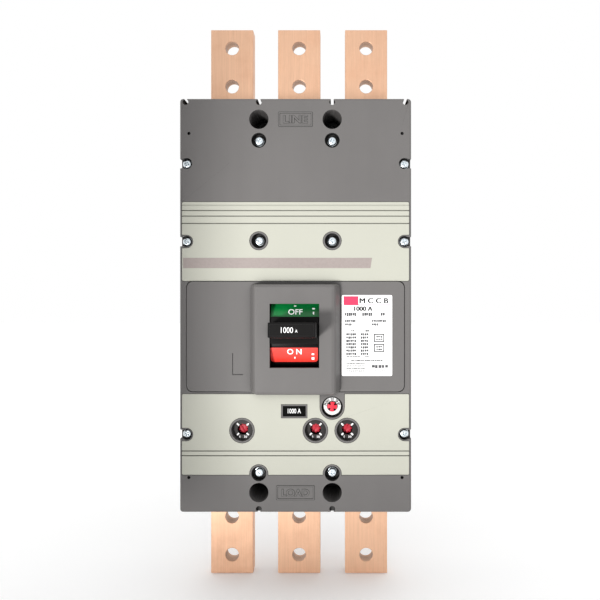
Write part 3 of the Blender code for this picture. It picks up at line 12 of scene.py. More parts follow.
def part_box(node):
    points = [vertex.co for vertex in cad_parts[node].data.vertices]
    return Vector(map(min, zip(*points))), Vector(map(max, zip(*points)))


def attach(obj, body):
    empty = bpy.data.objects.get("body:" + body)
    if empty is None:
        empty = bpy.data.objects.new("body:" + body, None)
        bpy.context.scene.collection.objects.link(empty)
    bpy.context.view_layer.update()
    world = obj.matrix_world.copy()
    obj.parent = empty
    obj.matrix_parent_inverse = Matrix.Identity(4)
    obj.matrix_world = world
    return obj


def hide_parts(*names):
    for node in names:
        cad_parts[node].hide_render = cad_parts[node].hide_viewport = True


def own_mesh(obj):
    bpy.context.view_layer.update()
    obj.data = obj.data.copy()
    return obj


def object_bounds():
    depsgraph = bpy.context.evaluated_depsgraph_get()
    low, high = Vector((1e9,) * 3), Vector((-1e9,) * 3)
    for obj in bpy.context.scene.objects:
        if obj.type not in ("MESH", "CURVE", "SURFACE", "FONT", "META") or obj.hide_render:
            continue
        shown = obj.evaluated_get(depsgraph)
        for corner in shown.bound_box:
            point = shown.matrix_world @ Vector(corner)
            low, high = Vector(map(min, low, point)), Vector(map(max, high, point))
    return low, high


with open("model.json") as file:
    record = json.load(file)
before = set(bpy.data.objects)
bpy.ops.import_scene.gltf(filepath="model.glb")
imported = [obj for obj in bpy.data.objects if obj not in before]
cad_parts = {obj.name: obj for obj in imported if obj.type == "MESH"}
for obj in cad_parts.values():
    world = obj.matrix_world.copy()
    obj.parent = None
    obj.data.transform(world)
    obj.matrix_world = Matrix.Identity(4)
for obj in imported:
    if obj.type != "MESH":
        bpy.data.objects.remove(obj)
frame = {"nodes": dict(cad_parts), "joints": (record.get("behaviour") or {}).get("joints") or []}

bl_info = {
    "name": "Molded case breaker",
    "version": (1, 0, 0),
    "blender": (4, 5, 0),
    "location": "3D View > Sidebar > Breaker",
    "description": "Finishes, printing and fine parts of a three pole molded case breaker",
    "category": "Object",
}

STARTUP_OBJECTS = ("Cube", "Camera", "Light")
for startup_name in STARTUP_OBJECTS:
    if startup_name in bpy.data.objects:
        bpy.data.objects.remove(bpy.data.objects[startup_name], do_unlink=True)
CAD_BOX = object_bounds()

MM = 0.001
POLES = ("left", "middle", "right")
# A moulded part is sunk by LIFT into its seat, and ink stands out by PRINT.
LIFT = 0.00003
PRINT = 0.00006
# Edges sharper than these are bevelled and shaded sharp. Vertices closer than MERGE are one.
BEVEL_ANGLE = math.radians(32)
SHARP_ANGLE = math.radians(35)
MERGE = 0.000002
# Stands the XY plane up to face the front, and the reach of a cutter through a thin plate.
UPRIGHT = Matrix.Rotation(math.pi / 2, 4, "X")
THROUGH = (-1 * MM, 1 * MM)


def joint_at(name):
    return Vector(next(joint["pos_m"] for joint in frame["joints"] if joint["name"] == name))


def front_of(node):
    """The Y of the face of a CAD node that is furthest to the front."""
    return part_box(node)[0].y


FACE_Y = front_of("upper_trim")
WEB_BELOW_FACE = 5.5 * MM
HANDLE_AXIS = joint_at("handle_hinge")
HANDLE_TILT = math.radians(4.8)
GRIP_ROOT, GRIP_TIP = 59.3, 95
OFF_AND_ON_ARCS = ((13.1, 28.5), (-31.2, -16.4))
# Ticks beside the words, in mm: the word, sideways, upwards, width, height.
FLAG_TICKS = (("off", 0.0, 6.0, 2.2, 0.9), ("on", 0.0, -6.2, 1.0, 2.0), ("off", 17.5, 3.2, 2.4, 1.4),
              ("off", 17.5, -1.2, 1.3, 2.6), ("on", 17.0, -2.6, 2.4, 1.6), ("on", 17.0, -7.0, 2.6, 2.6))


# Shader nodes


def start_skin(name):
    skin = bpy.data.materials.new(name)
    skin.use_nodes = True
    return skin, skin.node_tree, skin.node_tree.nodes["Principled BSDF"]


def shade(tree, kind, sockets=None, **settings):
    """Adds a shader node. A socket given another node's output is linked to it."""
    made = tree.nodes.new("ShaderNode" + kind)
    for key, value in settings.items():
        setattr(made, key, value)
    for key, value in (sockets or {}).items():
        if isinstance(value, bpy.types.NodeSocket):
            tree.links.new(value, made.inputs[key])
        else:
            made.inputs[key].default_value = value
    return made


def coords(tree, scale=(1, 1, 1), turn=(0, 0, 0)):
    where = shade(tree, "TexCoord").outputs["Object"]
    return shade(tree, "Mapping", {"Vector": where, "Scale": scale, "Rotation": turn}).outputs["Vector"]


def noise(tree, where, scale, detail=3.0, roughness=0.55):
    sockets = {"Vector": where, "Scale": scale, "Detail": detail, "Roughness": roughness}
    return shade(tree, "TexNoise", sockets).outputs["Fac"]


def spread(tree, value, low, high, out_low=0.0, out_high=1.0):
    sockets = {"Value": value, "From Min": low, "From Max": high, "To Min": out_low, "To Max": out_high}
    return shade(tree, "MapRange", sockets).outputs["Result"]


def maths(tree, operation, first, second):
    return shade(tree, "Math", {0: first, 1: second}, operation=operation).outputs[0]


def blended(tree, share, first, second, how="MIX"):
    made = shade(tree, "Mix", data_type="RGBA", blend_type=how)
    for index, value in ((0, share), (6, first), (7, second)):
        if isinstance(value, bpy.types.NodeSocket):
            tree.links.new(value, made.inputs[index])
        elif index:
            made.inputs[index].default_value = (*value, 1)
        else:
            made.inputs[index].default_value = value
    return made.outputs[2]


def worn_edges(tree, width):
    """From 0 on flat faces to 1 along outer edges and corners."""
    rounded = shade(tree, "Bevel", {"Radius": width}, samples=4).outputs["Normal"]
    plain = shade(tree, "NewGeometry").outputs["True Normal"]
    same = shade(tree, "VectorMath", {0: rounded, 1: plain}, operation="DOT_PRODUCT").outputs["Value"]
    return spread(tree, same, 0.985, 0.80)


def painted_shade_in_hollows(tree, body, painted_hollow_shade, reach, most):
    """The body colour, darkened by painted shade where the surface lies in a hole, a gap or a corner."""
    openness = shade(tree, "AmbientOcclusion", {"Distance": reach}, samples=8).outputs["AO"]
    return blended(tree, spread(tree, openness, 0.82, 0.25, 0.0, most), body, painted_hollow_shade)


def lift_grain(tree, shader, height, distance):
    bump = shade(tree, "Bump", {"Height": height, "Distance": distance, "Strength": 1.0})
    tree.links.new(bump.outputs["Normal"], shader.inputs["Normal"])


def tinted(colour, factor):
    return tuple(min(1.0, max(0.0, channel * factor)) for channel in colour)


def moulded(name, colour, roughness=0.5, grain=0.00035, height=0.000012, mottle=0.06, wear=0.35, gloss=0.3,
            painted_hollow_shade=0.93):
    """A moulded plastic: spark-eroded grain, faint flow marks, scuffs, edges rubbed paler, and painted
    shade in its hollows.
    """
    skin, tree, shader = start_skin(name)
    where = coords(tree)
    fine = noise(tree, where, 1 / grain, 2.0)
    broad = noise(tree, where, 14.0, 4.0)
    flow = noise(tree, coords(tree, (1, 1, 0.25)), 60.0, 3.0)
    tone = maths(tree, "ADD", maths(tree, "MULTIPLY", broad, 0.6), maths(tree, "MULTIPLY", flow, 0.4))
    share = spread(tree, tone, 0.3, 0.7)
    body = blended(tree, share, tinted(colour, 1 - mottle), tinted(colour, 1 + mottle))
    specks = spread(tree, fine, 0.35, 0.65, 0.0, 1.0)
    body = blended(tree, maths(tree, "MULTIPLY", specks, 0.12), body, tinted(colour, 1.35))
    edge = maths(tree, "MULTIPLY", worn_edges(tree, 0.0009), noise(tree, where, 220.0, 4.0))
    paler = tuple(channel + (1 - channel) * 0.16 for channel in colour)
    body = blended(tree, maths(tree, "MULTIPLY", edge, wear), body, paler)
    # Painted shade: hollows, gaps and corners darkened by ambient occlusion.
    body = painted_shade_in_hollows(tree, body, tinted(colour, 0.07), 0.014, painted_hollow_shade)
    tree.links.new(body, shader.inputs["Base Color"])
    scuff = spread(tree, noise(tree, coords(tree, (1, 1, 6)), 180.0, 5.0, 0.7), 0.55, 0.75)
    rough = spread(tree, broad, 0.3, 0.7, roughness - 0.05, roughness + 0.07)
    rough = maths(tree, "SUBTRACT", rough, maths(tree, "MULTIPLY", maths(tree, "ADD", scuff, edge), 0.08))
    tree.links.new(rough, shader.inputs["Roughness"])
    shader.inputs["Specular IOR Level"].default_value = gloss
    relief = maths(tree, "ADD", fine, maths(tree, "MULTIPLY", noise(tree, where, 0.35 / grain, 2.0), 0.8))
    lift_grain(tree, shader, relief, height)
    return skin


def brushed(name, colour, roughness=0.35, along=2, stain=(0.5, 0.35, 0.25), stained=0.25, fine=0.00022,
            painted_hollow_shade=0.9):
    """A bare or plated metal: brushing along one axis, dull stains, brighter rubbed edges, and painted
    shade in its hollows.
    """
    skin, tree, shader = start_skin(name)
    shader.inputs["Metallic"].default_value = 1.0
    where = coords(tree)
    stretch = [1.0, 1.0, 1.0]
    stretch[along] = 0.02
    hairs = noise(tree, coords(tree, stretch), 1 / fine, 3.0, 0.6)
    broad_hairs = noise(tree, coords(tree, stretch), 0.2 / fine, 3.0, 0.6)
    cloud = noise(tree, where, 35.0, 5.0, 0.6)
    share = spread(tree, maths(tree, "ADD", hairs, broad_hairs), 0.75, 1.25)
    body = blended(tree, share, tinted(colour, 0.93), tinted(colour, 1.06))
    body = blended(tree, spread(tree, cloud, 0.48, 0.78, 0.0, stained), body, stain)
    edge = worn_edges(tree, 0.0007)
    body = blended(tree, maths(tree, "MULTIPLY", edge, 0.4), body, tinted(colour, 1.12))
    # Painted shade: hollows, gaps and corners darkened by ambient occlusion.
    body = painted_shade_in_hollows(tree, body, tinted(stain, 0.3), 0.014, painted_hollow_shade)
    tree.links.new(body, shader.inputs["Base Color"])
    rough = spread(tree, cloud, 0.3, 0.7, roughness - 0.06, roughness + 0.1)
    rough = maths(tree, "ADD", rough, spread(tree, hairs, 0.3, 0.7, -0.06, 0.06))
    tree.links.new(rough, shader.inputs["Roughness"])
    lift_grain(tree, shader, maths(tree, "ADD", hairs, maths(tree, "MULTIPLY", cloud, 0.5)), 0.000008)
    return skin


def printed(name, colour, roughness=0.45, mottle=0.05, painted_glow=0.0):
    """Ink or foil: slightly uneven cover, with a fine tooth, and an emission that is painted light where it
    is set.
    """
    skin, tree, shader = start_skin(name)
    where = coords(tree)
    cover = spread(tree, noise(tree, where, 420.0, 4.0), 0.3, 0.7)
    body = blended(tree, cover, tinted(colour, 1 - mottle), tinted(colour, 1 + mottle))
    tree.links.new(body, shader.inputs["Base Color"])
    rough = spread(tree, cover, 0, 1, roughness - 0.05, roughness + 0.08)
    tree.links.new(rough, shader.inputs["Roughness"])
    # Emission on ink is painted light.
    shader.inputs["Emission Color"].default_value = (*colour, 1)
    shader.inputs["Emission Strength"].default_value = painted_glow
    lift_grain(tree, shader, noise(tree, where, 2500.0, 2.0), 0.000004)
    return skin


def braided(name, colour):
    """Bare copper braid: two crossing sets of strands."""
    skin, tree, shader = start_skin(name)
    shader.inputs["Metallic"].default_value = 1.0
    strands = []
    for turn in (math.radians(38), math.radians(-38)):
        where = coords(tree, (1, 1, 1), (turn, 0, 0))
        wave = shade(tree, "TexWave", {"Vector": where, "Scale": 420.0, "Distortion": 0.6, "Detail": 2.0},
                     wave_type="BANDS", bands_direction="Z")
        strands.append(wave.outputs["Fac"])
    weave = maths(tree, "MAXIMUM", *strands)
    body = blended(tree, weave, tinted(colour, 0.25), tinted(colour, 1.1))
    tree.links.new(body, shader.inputs["Base Color"])
    tree.links.new(spread(tree, weave, 0, 1, 0.65, 0.38), shader.inputs["Roughness"])
    lift_grain(tree, shader, weave, 0.0003)
    return skin


# Each finish: its maker, the material's name, its colour and its settings. A colour is plain,
# or a setting of BreakerLooks with the factor that tints it.
# In each finish, the darkening of hollows, gaps and corners is painted shade.
FINISHES = {
    "dark": (moulded, "dark_moulding", ("dark_colour", 1), dict(roughness=0.52)),
    "base": (moulded, "base_moulding", ("base_colour", 1), dict(
        roughness=0.6, grain=0.5 * MM, height=0.02 * MM)),
    "cream": (moulded, "cream_moulding", ("cream_colour", 1), dict(
        roughness=0.45, grain=0.3 * MM, height=0.006 * MM, mottle=0.015, wear=0.15, painted_hollow_shade=0.6)),
    "black": (moulded, "black_moulding", (0.006, 0.0055, 0.0055), dict(
        roughness=0.42, grain=0.3 * MM, height=0.006 * MM, mottle=0.15, wear=0.15, gloss=0.1)),
    "window_black": (moulded, "window_moulding", (0.003, 0.003, 0.003), dict(
        roughness=0.35, grain=0.3 * MM, height=0.004 * MM, mottle=0.1, wear=0.02, gloss=0.03)),
    "red": (moulded, "red_moulding", ("red_colour", 1), dict(
        roughness=0.4, grain=0.4 * MM, height=0.004 * MM, wear=0.2, painted_hollow_shade=0.25)),
    "white": (moulded, "white_moulding", (0.93, 0.93, 0.92), dict(
        roughness=0.42, grain=0.4 * MM, height=0.004 * MM, mottle=0.02, wear=0.1, painted_hollow_shade=0.1)),
    "insulator": (moulded, "insulating_moulding", (0.26, 0.13, 0.075), dict(
        roughness=0.55, grain=0.6 * MM, height=0.03 * MM, mottle=0.18)),
    # Near-black scale ring: painted shade in the dial wells.
    "ring": (moulded, "scale_ring_moulding", (0.018, 0.014, 0.013), dict(roughness=0.45)),
    # Painted shadow round the raised names on the cover.
    "gap_shade": (moulded, "relief_edge_moulding", ("dark_colour", 0.42), dict(roughness=0.6)),
    "copper": (brushed, "copper", ("copper_colour", 1), dict(
        roughness=0.42, stain=(0.42, 0.2, 0.12), stained=0.22)),
    "zinc": (brushed, "zinc_plate", (0.80, 0.87, 0.92), dict(
        roughness=0.24, along=0, stain=(0.5, 0.55, 0.56), stained=0.3, fine=0.4 * MM, painted_hollow_shade=0.35)),
    "steel": (brushed, "mechanism_steel", (0.50, 0.50, 0.49), dict(
        roughness=0.4, stain=(0.24, 0.2, 0.16), stained=0.45)),
    "spring": (brushed, "spring_wire", (0.56, 0.56, 0.57), dict(
        roughness=0.28, along=0, stain=(0.3, 0.28, 0.26), stained=0.3)),
    "braid": (braided, "copper_braid", (0.78, 0.45, 0.28), dict()),
    "film": (printed, "label_film", (0.92, 0.92, 0.92), dict(roughness=0.38, mottle=0.01)),
    "ink": (printed, "black_ink", (0.02, 0.02, 0.024), dict()),
    "grey_ink": (printed, "grey_ink", (0.055, 0.055, 0.06), dict(roughness=0.5, mottle=0.12)),
    "red_ink": (printed, "red_ink", (0.72, 0.02, 0.09), dict()),
    "white_ink": (printed, "white_ink", (0.97, 0.97, 0.97), dict()),
    # The flag words glow: painted light where the handle shades them.
    "flag_ink": (printed, "flag_ink", (0.97, 0.97, 0.97), dict(painted_glow=0.35)),
    "stripe_ink": (printed, "stripe_ink", ("stripe_colour", 1), dict(roughness=0.42)),
    "green_flag": (printed, "green_flag", ("off_colour", 1), dict(roughness=0.34, mottle=0.08)),
    "red_flag": (printed, "red_flag", ("on_colour", 1), dict(roughness=0.34)),
}
SKINS = {}


def skin(name):
    """The finish of that name, made the first time that it is asked for."""
    if name not in SKINS:
        make, title, colour, settings = FINISHES[name]
        if isinstance(colour[0], str):
            setting, factor = colour
            colour = tinted(getattr(bpy.context.scene.breaker_looks, setting), factor)
        SKINS[name] = make(title, colour, **settings)
    return SKINS[name]


# Shapes


def put(name, mesh, finish, body, stands_for=()):
    """Makes a piece of a mesh that is in the row frame."""
    obj = bpy.data.objects.new(name, mesh)
    bpy.context.scene.collection.objects.link(obj)
    mesh.materials.clear()
    mesh.materials.append(skin(finish))
    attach(obj, body)
    if stands_for:
        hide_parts(*stands_for)
    return obj


def mesh_of(name, bm):
    """A mesh of the built faces, turned outwards and shaded smooth up to SHARP_ANGLE."""
    mesh = bpy.data.meshes.new(name)
    bmesh.ops.recalc_face_normals(bm, faces=bm.faces)
    bm.to_mesh(mesh)
    bm.free()
    mesh.shade_smooth()
    mesh.set_sharp_from_angle(angle=SHARP_ANGLE)
    return mesh


def worked_out(obj):
    """The mesh that an object comes to, with its modifiers or its curve applied."""
    bpy.context.view_layer.update()
    return bpy.data.meshes.new_from_object(obj.evaluated_get(bpy.context.evaluated_depsgraph_get()))


def applied(mesh, build):
    """The mesh after the modifiers that build adds to an object of it."""
    obj = bpy.data.objects.new(mesh.name + "_work", mesh)
    bpy.context.scene.collection.objects.link(obj)
    helpers = build(obj) or ()
    made = worked_out(obj)
    made.name = mesh.name
    for used in (obj, *helpers):
        bpy.data.objects.remove(used, do_unlink=True)
    made.shade_smooth()
    made.set_sharp_from_angle(angle=SHARP_ANGLE)
    return made


def bevelled(mesh, width, segments=3):
    def build(obj):
        bevel = obj.modifiers.new("Soft edges", "BEVEL")
        bevel.width = width
        bevel.segments = segments
        bevel.limit_method = "ANGLE"
        bevel.angle_limit = BEVEL_ANGLE
    return applied(mesh, build)


def carved(mesh, cutters):
    """The mesh less each of the cutter meshes."""
    def build(obj):
        tools = []
        for number, cutter in enumerate(cutters):
            tool = bpy.data.objects.new(f"{mesh.name}_tool_{number}", cutter)
            bpy.context.scene.collection.objects.link(tool)
            boolean = obj.modifiers.new("Cut", "BOOLEAN")
            boolean.object = tool
            boolean.solver = "EXACT"
            tools.append(tool)
        return tools
    return applied(mesh, build)


def lathe(name, profile, steps=48):
    """A turned shape about Z of (radius, height) points; it is closed where the radius is 0."""
    bm = bmesh.new()
    rings = []
    for radius, height in profile:
        if radius < 1e-7:
            rings.append([bm.verts.new((0, 0, height))])
            continue
        angles = (2 * math.pi * i / steps for i in range(steps))
        rings.append([bm.verts.new((radius * math.cos(a), radius * math.sin(a), height)) for a in angles])
    for low, high in zip(rings, rings[1:]):
        for i in range(steps):
            corners = [low[i % len(low)], low[(i + 1) % len(low)]]
            corners += [high[(i + 1) % len(high)], high[i % len(high)]]
            kept = [v for n, v in enumerate(corners) if v not in corners[:n]]
            if len(kept) > 2:
                bm.faces.new(kept)
    bmesh.ops.remove_doubles(bm, verts=bm.verts, dist=1e-7)
    return mesh_of(name, bm)


def slab(name, outline, low, high):
    """An outline in (x, y) given thickness from low to high along Z."""
    bm = bmesh.new()
    bottom = [bm.verts.new((x, y, low)) for x, y in outline]
    top = [bm.verts.new((x, y, high)) for x, y in outline]
    bm.faces.new(top)
    bm.faces.new(bottom[::-1])
    for i in range(len(outline)):
        j = (i + 1) % len(outline)
        bm.faces.new((bottom[i], bottom[j], top[j], top[i]))
    return mesh_of(name, bm)


def block(name, xs, ys, zs):
    return slab(name, ((xs[0], ys[0]), (xs[1], ys[0]), (xs[1], ys[1]), (xs[0], ys[1])), *zs)


def rounded(xs, ys, radius, steps=6):
    """The outline of a rectangle with round corners."""
    points = []
    corners = ((xs[1], ys[1], 0), (xs[0], ys[1], 1), (xs[0], ys[0], 2), (xs[1], ys[0], 3))
    for x, y, turn in corners:
        cx = x - math.copysign(radius, x - sum(xs) / 2)
        cy = y - math.copysign(radius, y - sum(ys) / 2)
        for i in range(steps + 1):
            a = (turn + i / steps) * math.pi / 2
            points.append((cx + radius * math.cos(a), cy + radius * math.sin(a)))
    return points


def joined(name, meshes):
    """One mesh of several, which are used up."""
    bm = bmesh.new()
    for mesh in meshes:
        bm.from_mesh(mesh)
    made = bpy.data.meshes.new(name)
    bm.to_mesh(made)
    bm.free()
    for mesh in meshes:
        bpy.data.meshes.remove(mesh)
    return made


def facing_front(mesh, x, y, z, spin=0.0):
    """Stands a shape drawn on the XY plane against the front: its Z comes out towards the viewer."""
    mesh.transform(Matrix.Translation((x, y, z)) @ UPRIGHT @ Matrix.Rotation(spin, 4, "Z"))
    return mesh


def wrapped(mesh, radius, angle, x=0.0):
    """Bends a shape drawn on the XY plane round the handle's axis, its Y round the arc."""
    for vert in mesh.vertices:
        at = angle + vert.co.y / radius
        reach = radius + vert.co.z
        vert.co = (
            x + vert.co.x,
            HANDLE_AXIS.y - reach * math.cos(at),
            HANDLE_AXIS.z + reach * math.sin(at),
        )
    mesh.update()
    return mesh


def letters(name, text, height, width, thick=PRINT, weight=0.0):
    """A word centred on the XY plane, its capitals of that height."""
    data = bpy.data.curves.new(name, "FONT")
    data.body = text
    data.size = 1.0
    data.offset = weight
    data.resolution_u = 4
    data.extrude = 0.5
    obj = bpy.data.objects.new(name, data)
    bpy.context.scene.collection.objects.link(obj)
    mesh = worked_out(obj)
    bpy.data.objects.remove(obj, do_unlink=True)
    points = np.array([v.co for v in mesh.vertices])
    low, high = points.min(0), points.max(0)
    scale = height / (high[1] - low[1])
    across = width / (high[0] - low[0])
    to_middle = Matrix.Translation((-(low[0] + high[0]) / 2, -(low[1] + high[1]) / 2, 0.5))
    mesh.transform(Matrix.Diagonal((across, scale, thick, 1)) @ to_middle)
    mesh.name = name
    return mesh


def rope(name, points, radius, sides=8):
    """A round wire through the points, with its ends closed."""
    data = bpy.data.curves.new(name, "CURVE")
    data.dimensions = "3D"
    data.bevel_depth = radius
    data.bevel_resolution = sides // 4
    data.use_fill_caps = True
    spline = data.splines.new("POLY")
    spline.points.add(len(points) - 1)
    for knot, point in zip(spline.points, points):
        knot.co = (*point, 1)
    obj = bpy.data.objects.new(name, data)
    bpy.context.scene.collection.objects.link(obj)
    mesh = worked_out(obj)
    bpy.data.objects.remove(obj, do_unlink=True)
    mesh.name = name
    mesh.shade_smooth()
    return mesh


def long_axis(node):
    """(start, end, radius) of a CAD node that is a plain round bar."""
    points = np.array([v.co for v in frame["nodes"][node].data.vertices])
    middle = points.mean(0)
    direction = np.linalg.svd(points - middle, full_matrices=False)[2][0]
    along = (points - middle) @ direction
    across = np.linalg.norm(points - middle - np.outer(along, direction), axis=1)
    middle = middle + direction * (along.min() + along.max()) / 2
    half = (along.max() - along.min()) / 2
    return Vector(middle - direction * half), Vector(middle + direction * half), float(across.max())


def dress(names, finish, edge=0.00025, segments=2):
    """Gives CAD nodes their finish, their flat faces welded and their edges broken."""
    for name in names:
        obj = frame["nodes"][name]
        obj.material_slots[0].material = skin(finish)
        weld = obj.modifiers.new("Weld", "WELD")
        weld.merge_threshold = MERGE
        if edge:
            bevel = obj.modifiers.new("Broken edges", "BEVEL")
            bevel.width = edge
            bevel.segments = segments
            bevel.limit_method = "ANGLE"
            bevel.angle_limit = BEVEL_ANGLE
            bevel.use_clamp_overlap = False
            bevel.harden_normals = True


# The pieces


def centred(width, height, radius):
    """The outline of a plate centred on the XY plane, its corners rounded."""
    return rounded((-width / 2, width / 2), (-height / 2, height / 2), radius)


def name_frame(name, text, width, height, z):
    """A raised frame with raised capitals, moulded into the cover, and painted shadow lines along their
    edges.
    """
    rim, rise = 0.9 * MM, 0.45 * MM
    inside = slab(name + "_inside", centred(width - 2 * rim, height - 2 * rim, 0.5 * MM), *THROUGH)
    plate = carved(slab(name, centred(width, height, 1.0 * MM), -LIFT, rise), [inside])
    plate = bevelled(plate, 0.12 * MM, 2)
    tall, wide = height * 0.52, width * 0.72
    word = letters(name + "_word", text, tall, wide, rise, 0.01)
    word.transform(Matrix.Translation((0, 0, -LIFT)))
    front = front_of("main_cover")
    put(name, facing_front(joined(name, [plate, word]), 0, front, z), "dark", "root")
    shadow_lines = []
    # The dark rings and the grown letters below the relief are painted shadow along its edges.
    for outer, inner in ((0.45 * MM, 0.0), (-rim, -1.25 * MM)):
        ring = slab("seam", centred(width + 2 * outer, height + 2 * outer, 1.0 * MM), 0, PRINT)
        hole = slab("hole", centred(width + 2 * inner, height + 2 * inner, 0.8 * MM), *THROUGH)
        shadow_lines.append(carved(ring, [hole]))
    grown = 0.7 * MM
    shadow_lines.append(letters(name + "_shade", text, tall + grown, wide + grown, 0.1 * MM, 0.055))
    mesh = facing_front(joined(name + "_edges", shadow_lines), 0, front, z)
    put(name + "_edges", mesh, "gap_shade", "root")


def make_case():
    dress(["main_cover"], "dark", 0.00025)
    dress(["base"], "base", 0.0004)
    name_frame("line_name", "LINE", 32 * MM, 13.6 * MM, 177.6 * MM)
    name_frame("load_name", "LOAD", 36 * MM, 13.3 * MM, -178.6 * MM)


def make_trims():
    dress(["upper_trim", "lower_trim"], "cream", 0.0002)
    left, right = -107.3 * MM, 71.5 * MM
    low, high = 35.6 * MM, 45.4 * MM
    slant = 1.5 * MM
    outline = ((left, low), (right, low), (right + slant, high), (left, high))
    stripe = slab("stripe", outline, 0, PRINT)
    put("stripe", facing_front(stripe, 0, FACE_Y, 0), "stripe_ink", "root")


def make_panel():
    dress(["mid_panel"], "dark", 0.0003)


def make_screws():
    """One screw, shared by its twelve places: domed head, cross recess, two washers and thread."""
    low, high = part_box("centre_screw_mid_left")
    head = (high.x - low.x) / 2
    head_end, spring_end, seat = 3.4 * MM, 4.9 * MM, 6.5 * MM
    length = high.y - low.y
    shank = 2.42 * MM
    rim = head * 0.93
    profile = [(0, 0), (rim * 0.45, -0.06 * MM), (rim * 0.78, -0.3 * MM), (rim * 0.95, -0.75 * MM)]
    profile += [(rim, -1.3 * MM), (rim, -head_end + 0.25 * MM)]
    profile += [(rim - 0.25 * MM, -head_end), (head * 0.78, -head_end)]
    profile += [(head * 0.86, -head_end - 0.15 * MM), (head * 0.86, -spring_end + 0.15 * MM)]
    corner = 0.12 * MM
    profile += [(head * 0.78, -spring_end), (head - corner, -spring_end), (head, -spring_end - corner)]
    profile += [(head, -seat + corner), (head - corner, -seat), (shank, -seat)]
    pitch = 0.8 * MM
    at = -seat - 3 * MM
    profile.append((shank, at))
    while at - pitch > -length + 1.5 * MM:
        profile += [(shank * 0.84, at - pitch * 0.5), (shank, at - pitch)]
        at -= pitch
    profile += [(shank * 0.6, -length + 0.1 * MM), (0, -length)]
    screw = lathe("screw", profile, 32)
    wing, width, depth, taper = head * 0.62, head * 0.17, 1.7 * MM, 0.55
    outline = ((-wing, -width), (wing, -width), (wing, width), (-wing, width))
    cross = []
    for turn in range(2):
        tool = slab(f"cross_{turn}", outline, -depth, 1 * MM)
        for vert in tool.vertices:
            if vert.co.z < 0:
                vert.co.x *= taper
                vert.co.y *= taper
        tool.transform(Matrix.Rotation(turn * math.pi / 2, 4, "Z"))
        cross.append(tool)
    screw = bevelled(carved(screw, cross), 0.09 * MM, 2)
    turns = itertools.count(1)
    for name in sorted(frame["nodes"]):
        if "_screw_" not in name:
            continue
        low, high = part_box(name)
        obj = bpy.data.objects.new("fine_" + name, screw)
        bpy.context.scene.collection.objects.link(obj)
        spin = Matrix.Rotation(next(turns) * 2.4, 4, "Z")
        place = Matrix.Translation(((low.x + high.x) / 2, low.y, (low.z + high.z) / 2))
        obj.matrix_world = place @ UPRIGHT @ spin
        if not screw.materials:
            screw.materials.append(skin("zinc"))
        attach(obj, "root")
        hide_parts(name)


def make_bars():
    dress([f"{side}_bar_{pole}" for side in ("line", "load") for pole in POLES], "copper", 0.0005, 3)


def curved_plate(name, xs, angles, radius, thickness, corner, rows=18):
    """A plate on the shutter's arc, its lower two corners rounded."""
    bm = bmesh.new()
    faces = []
    low, high = angles
    span = (high - low) * radius
    for layer in (0.0, thickness):
        grid = []
        for row in range(rows + 1):
            share = row / rows
            rise = share**1.6 * span
            inset = 0.0
            if rise < corner:
                inset = corner - math.sqrt(max(0.0, corner**2 - (corner - rise) ** 2))
            at = low + rise / radius
            reach = radius + layer
            y, z = HANDLE_AXIS.y - reach * math.cos(at), HANDLE_AXIS.z + reach * math.sin(at)
            grid.append([bm.verts.new((xs[0] + inset, y, z)), bm.verts.new((xs[1] - inset, y, z))])
        faces.append(grid)
    back, front = faces
    for row in range(rows):
        bm.faces.new((front[row][0], front[row][1], front[row + 1][1], front[row + 1][0]))
        bm.faces.new((back[row][0], back[row + 1][0], back[row + 1][1], back[row][1]))
        for side in (0, 1):
            bm.faces.new((back[row][side], front[row][side], front[row + 1][side], back[row + 1][side]))
    for row in (0, rows):
        bm.faces.new((back[row][0], back[row][1], front[row][1], front[row][0]))
    return mesh_of(name, bm)


def make_handle():
    """The shutter's two flags with their words and ticks, drawn on the arc; then the grip."""
    dress(["handle", "handle_shutter"], "black", 0.0002)
    radius, plate = 56.7 * MM, 0.18 * MM
    green, red = (tuple(math.radians(turn) + HANDLE_TILT for turn in turns) for turns in OFF_AND_ON_ARCS)
    put("off_flag", curved_plate("off_flag", (-22.7 * MM, 22.7 * MM), green, radius, plate, 0.3 * MM),
        "green_flag", "handle")
    put("on_flag", curved_plate("on_flag", (-22.7 * MM, 21.6 * MM), red, radius, plate, 3 * MM),
        "red_flag", "handle")
    surface = radius + plate
    off_at, on_at = (math.asin((z * MM - HANDLE_AXIS.z) / surface) for z in (-5.8, -43.0))
    marks = []
    for text, at, x in (("OFF", off_at, 0.4), ("O N", on_at, -0.4)):
        word = letters("flag_word", text, 5.4 * MM, 13.5 * MM, PRINT, 0.012)
        marks.append(wrapped(word, surface, at, x * MM))
    for name, x, up, width, height in FLAG_TICKS:
        xs, ys = (-width / 2 * MM, width / 2 * MM), ((up - height / 2) * MM, (up + height / 2) * MM)
        tick = slab("flag_tick", rounded(xs, ys, 0.3 * MM, 3), 0, PRINT)
        marks.append(wrapped(tick, surface, off_at if name == "off" else on_at, x * MM))
    # The flag printing glows with painted light.
    put("flag_printing", joined("flag_printing", marks), "flag_ink", "handle")
    make_grip()


